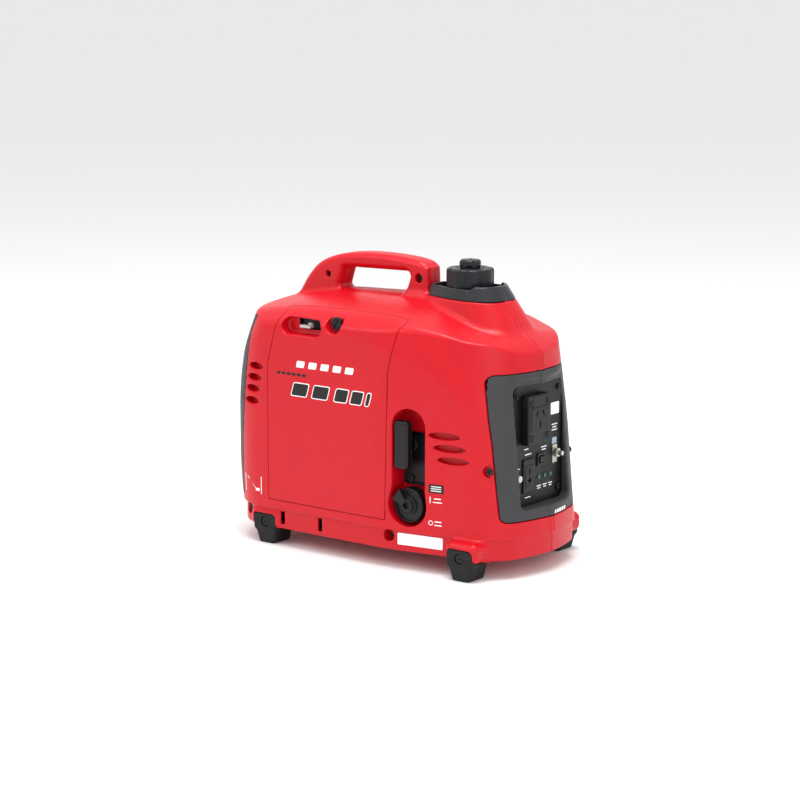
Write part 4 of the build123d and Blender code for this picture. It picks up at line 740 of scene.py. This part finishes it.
def shade_from_field(mesh, field):
    """Gives every face corner the field's own direction, so thinned faces still shade smoothly."""
    corners = np.empty(len(mesh.loops), np.int32)
    mesh.loops.foreach_get("vertex_index", corners)
    points = np.empty(len(mesh.vertices) * 3, np.float32)
    mesh.vertices.foreach_get("co", points)
    points = points.reshape(-1, 3) / MM
    starts = np.empty(len(mesh.polygons), np.int32)
    mesh.polygons.foreach_get("loop_start", starts)
    sizes = np.diff(np.append(starts, len(corners)))
    owner = np.repeat(np.arange(len(starts)), sizes)
    at = points[corners]
    middle = np.stack([np.bincount(owner, at[:, a]) for a in range(3)], 1) / sizes[:, None]
    inner = at + (middle[owner] - at) * 0.12
    normals = gradient(field, inner, 0.15)
    flat = np.empty(len(mesh.polygons) * 3, np.float32)
    mesh.polygons.foreach_get("normal", flat)
    flat = flat.reshape(-1, 3)[owner]
    wrong = np.sum(normals * flat, 1) < 0.3
    normals[wrong] = flat[wrong]
    mesh.normals_split_custom_set(normals)


def moulded_piece(name, field, low, high, step, material, body="root", stands_for=(), keep=0.3):
    """A piece made from a field: contoured, thinned, shaded, and tied to its CAD body."""
    step = step * DRAFT
    margin = 2.37 * step
    verts, faces = contour(field, np.array(low) - margin, np.array(high) + margin, step)
    obj = bpy.data.objects.new(name, mesh_from(name, verts, faces))
    bpy.context.scene.collection.objects.link(obj)
    if keep < 1:
        thin = obj.modifiers.new("thin", "DECIMATE")
        thin.ratio = keep
        graph = bpy.context.evaluated_depsgraph_get()
        mesh = bpy.data.meshes.new_from_object(obj.evaluated_get(graph))
        obj.modifiers.clear()
        obj.data = mesh
    obj.data.polygons.foreach_set("use_smooth", np.ones(len(obj.data.polygons), bool))
    shade_from_field(obj.data, field)
    obj.data.materials.append(material)
    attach(obj, body)
    if stands_for:
        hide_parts(*stands_for)
    return obj


# ================================================================ materials
def paint(name, colour, rough, *, metal=0.0, coat=0.0, mottle=0.06, grain=(1400, 0.012),
          wave=(38, 0.0), spread=0.05, sheen=0.0, specular=0.32):
    """A moulded, cast or sprayed surface: fine grain, slow waviness, uneven gloss and colour."""
    mat = bpy.data.materials.new(name)
    mat.use_nodes = True
    nodes, link = mat.node_tree.nodes, mat.node_tree.links.new
    shader = nodes["Principled BSDF"]
    shader.inputs["Metallic"].default_value = metal
    shader.inputs["Coat Weight"].default_value = coat
    shader.inputs["Coat Roughness"].default_value = 0.22
    shader.inputs["Sheen Weight"].default_value = sheen
    shader.inputs["Specular IOR Level"].default_value = specular
    place = nodes.new("ShaderNodeTexCoord").outputs["Object"]

    def noise(scale, detail=3.0, rough_detail=0.5):
        node = nodes.new("ShaderNodeTexNoise")
        node.inputs["Scale"].default_value = scale
        node.inputs["Detail"].default_value = detail
        node.inputs["Roughness"].default_value = rough_detail
        link(place, node.inputs["Vector"])
        return node.outputs["Fac"]

    def ramp(source, low, high):
        node = nodes.new("ShaderNodeMapRange")
        node.inputs["From Min"].default_value = 0.3
        node.inputs["From Max"].default_value = 0.7
        node.inputs["To Min"].default_value = low
        node.inputs["To Max"].default_value = high
        link(source, node.inputs["Value"])
        return node.outputs["Result"]

    tint = nodes.new("ShaderNodeMix")
    tint.data_type = "RGBA"
    tint.inputs["A"].default_value = (*(c * (1 - mottle) for c in colour), 1)
    tint.inputs["B"].default_value = (*(min(c * (1 + mottle), 1) for c in colour), 1)
    link(ramp(noise(55, 5), 0, 1), tint.inputs["Factor"])
    link(tint.outputs["Result"], shader.inputs["Base Color"])
    link(ramp(noise(90, 4), rough - spread, rough + spread), shader.inputs["Roughness"])
    fine = nodes.new("ShaderNodeBump")
    fine.inputs["Strength"].default_value = 0.35
    fine.inputs["Distance"].default_value = grain[1] * MM
    link(noise(grain[0], 2), fine.inputs["Height"])
    slow = nodes.new("ShaderNodeBump")
    slow.inputs["Strength"].default_value = 0.5
    slow.inputs["Distance"].default_value = wave[1] * MM
    link(noise(wave[0], 1), slow.inputs["Height"])
    link(slow.outputs["Normal"], fine.inputs["Normal"])
    link(fine.outputs["Normal"], shader.inputs["Normal"])
    return mat


def srgb(r, g, b):
    """Linear colour from the eight-bit one."""
    return tuple(((c / 255 + 0.055) / 1.055) ** 2.4 if c > 10 else c / 255 / 12.92 for c in (r, g, b))


RED = paint("red_plastic_gloss", srgb(192, 3, 24), 0.36, mottle=0.03, grain=(2200, 0.02),
            wave=(24, 0.12), spread=0.04)
GREY = paint("dark_grey_plastic", srgb(54, 54, 57), 0.50, grain=(1500, 0.05))
SATIN = paint("satin_black_plastic", srgb(38, 38, 42), 0.30, grain=(1500, 0.03))
CAP_BLACK = paint("cap_plastic", srgb(16, 19, 25), 0.34, grain=(1500, 0.03))
BLACK = paint("black_plastic_matt", srgb(11, 11, 13), 0.42, grain=(1300, 0.04))
PANEL = paint("panel_plastic_matt", srgb(13, 14, 16), 0.46, grain=(1300, 0.05))
PALE = paint("pale_plastic", srgb(196, 198, 200), 0.42)
RUBBER = paint("foot_rubber_matt", srgb(16, 17, 19), 0.62, grain=(900, 0.08), mottle=0.12)
HOSE = paint("hose_rubber_matt", srgb(18, 18, 19), 0.55, grain=(900, 0.06))
ROPE = paint("rope_fibre_dark", srgb(40, 40, 42), 0.85, grain=(1600, 0.2), sheen=0.4)
ZINC = paint("zinc_plate", srgb(188, 186, 176), 0.34, metal=1.0, mottle=0.10)
STEEL_BLACK = paint("blackened_steel", srgb(34, 35, 38), 0.38, metal=0.4)
CAST = paint("cast_aluminium_raw", srgb(168, 170, 172), 0.48, metal=1.0, grain=(700, 0.1))
TANK = paint("tank_plastic_black", srgb(30, 31, 33), 0.45)
FORGED = paint("forged_steel_raw", srgb(132, 132, 134), 0.36, metal=1.0)
EXHAUST = paint("heated_steel", srgb(122, 112, 100), 0.5, metal=1.0, mottle=0.25)
FOAM = paint("filter_foam_grey", srgb(50, 52, 54), 0.95, grain=(420, 0.8), mottle=0.2)
MAGNET = paint("magnet_nickel", srgb(120, 120, 122), 0.3, metal=1.0)
CORE = paint("core_laminate", srgb(120, 92, 62), 0.42, metal=0.6, mottle=0.15)
CERAMIC = paint("ceramic_glaze", srgb(236, 232, 222), 0.16)
LAMP = paint("lamp_lens_green", srgb(28, 84, 46), 0.2, coat=0.3)
WHITE_INK = paint("white_ink", srgb(238, 238, 238), 0.42, grain=(2600, 0.01))
BLACK_INK = paint("black_ink", srgb(20, 18, 20), 0.38, grain=(2600, 0.01))
BLUE_INK = paint("pale_blue_ink", srgb(150, 172, 190), 0.42)

FINISHES = {
    "red_plastic": RED, "dark_plastic": GREY, "black_plastic": BLACK, "light_plastic": PALE,
    "panel_plastic": PANEL, "foot_rubber": RUBBER, "hose_rubber": HOSE, "rope_fibre": ROPE,
    "lamp_lens": LAMP, "zinc_steel": ZINC, "black_steel": STEEL_BLACK, "cast_aluminium": CAST,
    "tank_plastic": TANK, "forged_steel": FORGED, "exhaust_steel": EXHAUST,
    "filter_foam": FOAM, "magnet": MAGNET, "core_steel": CORE, "ceramic": CERAMIC,
}


def dress_frame():
    """Gives every CAD node the finish of its own slot."""
    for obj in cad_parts.values():
        for slot in obj.material_slots:
            finish = next((f for key, f in FINISHES.items() if key in slot.material.name), None)
            if finish:
                slot.material = finish


# ================================================================ thin prints
def gridded(outline, pitch=4.0):
    """Flat points and triangles that fill an outline, close enough together to follow a curve."""
    ring = np.array(outline, float)
    low, high = ring.min(0), ring.max(0)
    u, v = np.meshgrid(*(np.arange(a + pitch / 2, b, pitch) for a, b in zip(low, high)))
    inner = np.stack((u.ravel(), v.ravel()), 1)
    if len(inner):
        inner = inner[polygon(inner[:, 0], inner[:, 1], outline) < -0.3]
    points = [Vector(p) for p in (*ring, *inner)]
    edges = [(i, (i + 1) % len(ring)) for i in range(len(ring))]
    made = delaunay_2d_cdt(points, edges, [], 1, 1e-4)
    return [tuple(p) for p in made[0]], made[2]


def draped(name, outlines, material, lift, body="root"):
    """Closed thin prints from flat outlines; lift gives the surface point and its outward side."""
    verts, faces = [], []
    for outline in outlines:
        flat, cells = gridded(outline)
        base, count = len(verts), len(flat)
        for offset in (0.24, -0.5):
            verts += [lift(u, v, offset) for u, v in flat]
        faces += [[base + i for i in cell] for cell in cells]
        faces += [[base + count + i for i in reversed(cell)] for cell in cells]
        used = {(c, d) for cell in cells for c, d in zip(cell, (*cell[1:], cell[0]))}
        faces += [[base + c, base + count + c, base + count + d, base + d]
                  for c, d in used if (d, c) not in used]
    mesh = bpy.data.meshes.new(name)
    mesh.from_pydata([tuple(c * MM for c in p) for p in verts], [], faces)
    mesh.validate()
    obj = bpy.data.objects.new(name, mesh)
    bpy.context.scene.collection.objects.link(obj)
    obj.data.materials.append(material)
    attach(obj, body)
    return obj


def on_side(u, v, offset):
    """The point of the near side of the case at x = u, z = v."""
    y = -HALF_W - 2
    for _ in range(60):
        y += 0.9 * float(case_form(*(np.array([c], float) for c in (u, y, v)))[0])
    return u, y - offset, v


def on_nose(u, v, offset):
    """The point of the front of the case at y = u, z = v."""
    x = FRONT_X + 2
    for _ in range(60):
        x -= 0.9 * float(case_form(*(np.array([c], float) for c in (x, u, v)))[0])
    return x + offset, u, v


def on_panel(u, v, offset):
    """The point of the control panel's face at y = u, z = v."""
    return PANEL_X + offset, u, v


def bar(u, v, length, width, lean=0.0, r=0.8):
    """Outline of a rounded bar, its ends leaning over by lean."""
    ring = []
    for sx, sy in ((1, 1), (-1, 1), (-1, -1), (1, -1)):
        cx, cy = sx * (length / 2 - r), sy * (width / 2 - r)
        first = {(1, 1): 0, (-1, 1): 90, (-1, -1): 180, (1, -1): 270}[sx, sy]
        for a in (0, 30, 60, 90):
            t = math.radians(first + a)
            px, py = cx + r * math.cos(t), cy + r * math.sin(t)
            ring.append((u + px + lean * py, v + py))
    return ring


def ring_bars(u, v, radius, width, count=12):
    """A ring made of short quads."""
    out = []
    for i in range(count):
        a, b = 2 * math.pi * i / count, 2 * math.pi * (i + 1) / count
        out.append([(u + r * math.cos(t), v + r * math.sin(t)) for r, t in
                    ((radius, a), (radius, b), (radius - width, b), (radius - width, a))])
    return out


def side_prints():
    """Plain prints on the near side: bars where the real one carries lettering."""
    door = "maintenance_cover"
    top = [bar(-85 + 20 * i, 245, 13, 8.5, 0.25, 1.5) for i in range(5)]
    draped("print_white_bars", top, WHITE_INK, on_side, door)
    draped("print_small_bars", [bar(-122 + 8.5 * i, 231, 6, 3.6, 0.2) for i in range(6)],
           BLACK_INK, on_side, door)
    wide = [(-86, 27), (-52, 27), (-18, 22), (7, 20), (25, 8)]
    edge = [bar(u, 212, length, 18.5, 0.3, 3) for u, length in wide]
    draped("print_wide_edges", edge, WHITE_INK, on_side, door)
    core = [bar(u, 212, length - 2.6, 15.9, 0.3, 2) for u, length in wide]
    draped("print_wide_bars", core, BLACK_INK,
           lambda u, v, offset: on_side(u, v, offset + 0.12), door)
    frame_bars = [bar(-169.5, z, 33, 1.1, 0, 0.4) for z in (66.6, 88.4)]
    frame_bars += [bar(x, 77.5, 1.1, 22, 0, 0.4) for x in (-185.4, -153.6)]
    frame_bars += [bar(-170, 78, 2, 17, -1.2, 0.6), bar(-160, 71.5, 7, 3.6, 0, 0.6)]
    draped("print_sign", frame_bars, WHITE_INK, on_side)
    draped("print_valve_block", [bar(122, 109.5, 20, 11, 0, 1)], BLACK_INK, on_side)
    lines = [bar(122, z, 14, 1.1, 0, 0.4) for z in (112.2, 109.5, 106.8)]
    draped("print_valve_lines", lines, WHITE_INK, lambda u, v, offset: on_side(u, v, offset + 0.12))
    marks = [bar(114, 95, 1.2, 8, 0, 0.4), bar(124, 97, 9, 1.4, 0, 0.4), bar(124, 92.5, 12, 1.2, 0, 0.4)]
    marks += ring_bars(115, 66, 3.2, 0.9) + [bar(125, 68, 9, 1.4, 0, 0.4), bar(125, 63.5, 10, 1.2, 0, 0.4)]
    draped("print_valve_marks", marks, WHITE_INK, on_side)
    draped("print_blank_label", [bar(97.5, 39.5, 63, 15, 0, 1.5)], WHITE_INK, on_side)


def panel_prints():
    """Plain prints on the control panel."""
    lines = [bar(y, z, w, 1.3, 0, 0.4) for y, z, w in
             ((-24, 155.5, 9), (-20, 148.5, 14), (14, 153, 12), (14, 149.6, 9), (4, 104.5, 9),
              (17, 104.5, 9), (29, 104.5, 8), (4, 101.5, 7), (17, 101.5, 6), (29, 101.5, 6),
              (37, 178, 12), (37, 174.4, 9), (37, 170.8, 12), (-20, 94, 12), (-42, 133, 7))]
    draped("print_panel_lines", lines, WHITE_INK, on_panel)
    draped("print_panel_label", [bar(37.5, 198.5, 18, 15, 0, 1)], WHITE_INK, on_panel)
    draped("print_frame_bars", [bar(6 + 6.5 * i, 74.5, 4.6, 4.4, 0.25) for i in range(5)],
           WHITE_INK, on_nose)
    draped("print_earth_plate", [bar(37, 157, 10, 8, 0, 1)], BLUE_INK, on_panel)


# ================================================================ pieces
def rope_piece():
    """The starter rope: a twisted cord of four shallow lays."""
    y0, y1 = ROPE_HIGH[1], ROPE_LOW[1]
    rings, sides, radius = 120, 16, (ROPE_HIGH[0] - ROPE_LOW[0]) / 2
    verts = []
    for i in range(rings + 1):
        t = i / rings
        for j in range(sides):
            a = 2 * math.pi * j / sides
            r = radius * (0.95 + 0.05 * math.cos(4 * (a + 22 * t)))
            verts.append(((ROPE_X + r * math.cos(a)) * MM, (y0 + (y1 - y0) * t) * MM,
                          (ROPE_Z + r * math.sin(a)) * MM))
    faces = [[i * sides + j, i * sides + (j + 1) % sides, (i + 1) * sides + (j + 1) % sides,
              (i + 1) * sides + j] for i in range(rings) for j in range(sides)]
    faces += [list(reversed(range(sides))), [rings * sides + j for j in range(sides)]]
    mesh = bpy.data.meshes.new("rope")
    mesh.from_pydata(verts, [], faces)
    mesh.polygons.foreach_set("use_smooth", np.ones(len(mesh.polygons), bool))
    obj = bpy.data.objects.new("starter_rope", mesh)
    bpy.context.scene.collection.objects.link(obj)
    obj.data.materials.append(ROPE)
    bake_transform(obj)
    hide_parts("recoil_rope")


def build_pieces():
    """Every piece that replaces a CAD node; the moulded ones are each tied to a body."""
    moulded_piece("case_left", case_half(-1), SHELL_LOW, SHELL_HIGH, 1.3, RED, "root",
                  ["left_shell"])
    low, high = cad("right_shell")
    moulded_piece("case_right", case_half(1), low, high, 1.4, RED, "root", ["right_shell"])
    low, high = cad("maintenance_cover")
    moulded_piece("door", door_field, low, high, 1.1, RED, "maintenance_cover",
                  ["maintenance_cover"])
    low, high = cad("rear_cover")
    moulded_piece("rear_grille", rear_field, low, high, 1.25, GREY, "root", ["rear_cover"])
    low, high = cad("control_bezel")
    moulded_piece("panel_frame", bezel_field, low, high, 1.25, GREY, "root", ["control_bezel"])
    moulded_piece("tray", collar_field, COLLAR_LOW, COLLAR_HIGH, 0.8, SATIN, "root",
                  ["filler_collar"], 0.4)
    moulded_piece("cap", cap_field, CAP_LOW, CAP_HIGH, 0.7, CAP_BLACK, "fuel_cap",
                  ["fuel_cap"], 0.4)
    moulded_piece("cap_knob", knob_field, KNOB_LOW, KNOB_HIGH, 0.5, CAP_BLACK, "vent_knob",
                  ["vent_knob"], 0.5)
    moulded_piece("grip", grip_field, GRIP_LOW, GRIP_HIGH, 0.7, BLACK, "starter_grip",
                  ["recoil_grip"], 0.5)
    moulded_piece("valve_knob", valve_field, VALVE_LOW, VALVE_HIGH, 0.6, BLACK, "fuel_valve",
                  ["fuel_valve_knob"], 0.5)
    moulded_piece("rope_plate", guide_field, GUIDE_LOW, GUIDE_HIGH, 0.6, BLACK, "root",
                  ["rope_guide_plate"], 0.4)
    moulded_piece("mains_socket", ac_field, AC_LOW, AC_HIGH, 0.5, BLACK, "root",
                  ["ac_outlet"], 0.4)
    moulded_piece("low_voltage_socket", dc_field, DC_LOW, DC_HIGH, 0.5, BLACK, "root",
                  ["dc_outlet"], 0.4)
    moulded_piece("door_dial", dial_field, DIAL_LOW, DIAL_HIGH, 0.5, BLACK, "cover_screw",
                  ["cover_screw"], 0.4)
    moulded_piece("choke_slider", slider_field, LEVER_LOW, LEVER_HIGH, 0.5, BLACK, "choke_lever",
                  ["choke_lever"], 0.4)
    moulded_piece("choke_tab", tab_field, LEVER_LOW, LEVER_HIGH, 0.5, PALE, "choke_lever", (), 0.4)
    for end, foot_x in zip(("rear", "front"), FOOT_XS):
        for hand, side in (("left", -1), ("right", 1)):
            node = f"foot_{end}_{hand}"
            low, high = cad(node)
            moulded_piece(f"{node}_rubber", foot_field(foot_x, side), low, high, 0.9, RUBBER,
                          "root", [node], 0.4)
    rope_piece()


# ================================================================ camera, floor and lights
AIM = Vector((0.004, 0.0, 0.185))
AZIMUTH, ELEVATION, DISTANCE = math.radians(38), math.radians(10.8), 2.975
SIDEWAYS, UPWARDS = -0.0181, 0.0061


def place_camera():
    """The camera, looking at the near side and the panel from a little above."""
    right = Vector((math.cos(AZIMUTH), math.sin(AZIMUTH), 0))
    back = Vector((math.sin(AZIMUTH) * math.cos(ELEVATION),
                   -math.cos(AZIMUTH) * math.cos(ELEVATION), math.sin(ELEVATION)))
    up = back.cross(right)
    data = bpy.data.cameras.new("camera")
    data.lens, data.sensor_width, data.clip_end = 103.5, 36, 200
    camera = bpy.data.objects.new("camera", data)
    bpy.context.scene.collection.objects.link(camera)
    camera.location = AIM + right * SIDEWAYS + up * UPWARDS + back * DISTANCE
    camera.rotation_mode = "QUATERNION"
    camera.rotation_quaternion = back.to_track_quat("Z", "Y")
    bpy.context.scene.camera = camera


def area_light(name, spot, size, power):
    """A round soft light that faces the object."""
    data = bpy.data.lights.new(name, "AREA")
    data.shape, data.size, data.energy = "DISK", size, power
    light = bpy.data.objects.new(name, data)
    light.location = spot
    light.rotation_mode = "QUATERNION"
    light.rotation_quaternion = (Vector(spot) - AIM).to_track_quat("Z", "Y")
    bpy.context.scene.collection.objects.link(light)


def studio():
    """A pale floor, an even white sky and three soft lights."""
    half = 60.0
    mesh = bpy.data.meshes.new("floor")
    mesh.from_pydata([(-half, -half, 0), (half, -half, 0), (half, half, 0), (-half, half, 0)],
                     [], [(0, 1, 2, 3)])
    floor = bpy.data.objects.new("floor", mesh)
    floor.data.materials.append(paint("floor_white", (0.9, 0.9, 0.9), 0.8, mottle=0.0))
    bpy.context.scene.collection.objects.link(floor)
    world = bpy.data.worlds.new("studio")
    world.use_nodes = True
    world.node_tree.nodes["Background"].inputs["Color"].default_value = (1, 1, 1, 1)
    world.node_tree.nodes["Background"].inputs["Strength"].default_value = 0.9
    bpy.context.scene.world = world
    area_light("key", (-1.6, -2.2, 2.4), 1.6, 20)
    area_light("fill", (2.6, -1.4, 1.3), 1.8, 16)
    area_light("top", (0.2, -0.2, 2.6), 1.4, 52)


bpy.context.scene.view_settings.view_transform = "Standard"
dress_frame()
build_pieces()
side_prints()
panel_prints()
place_camera()
studio()
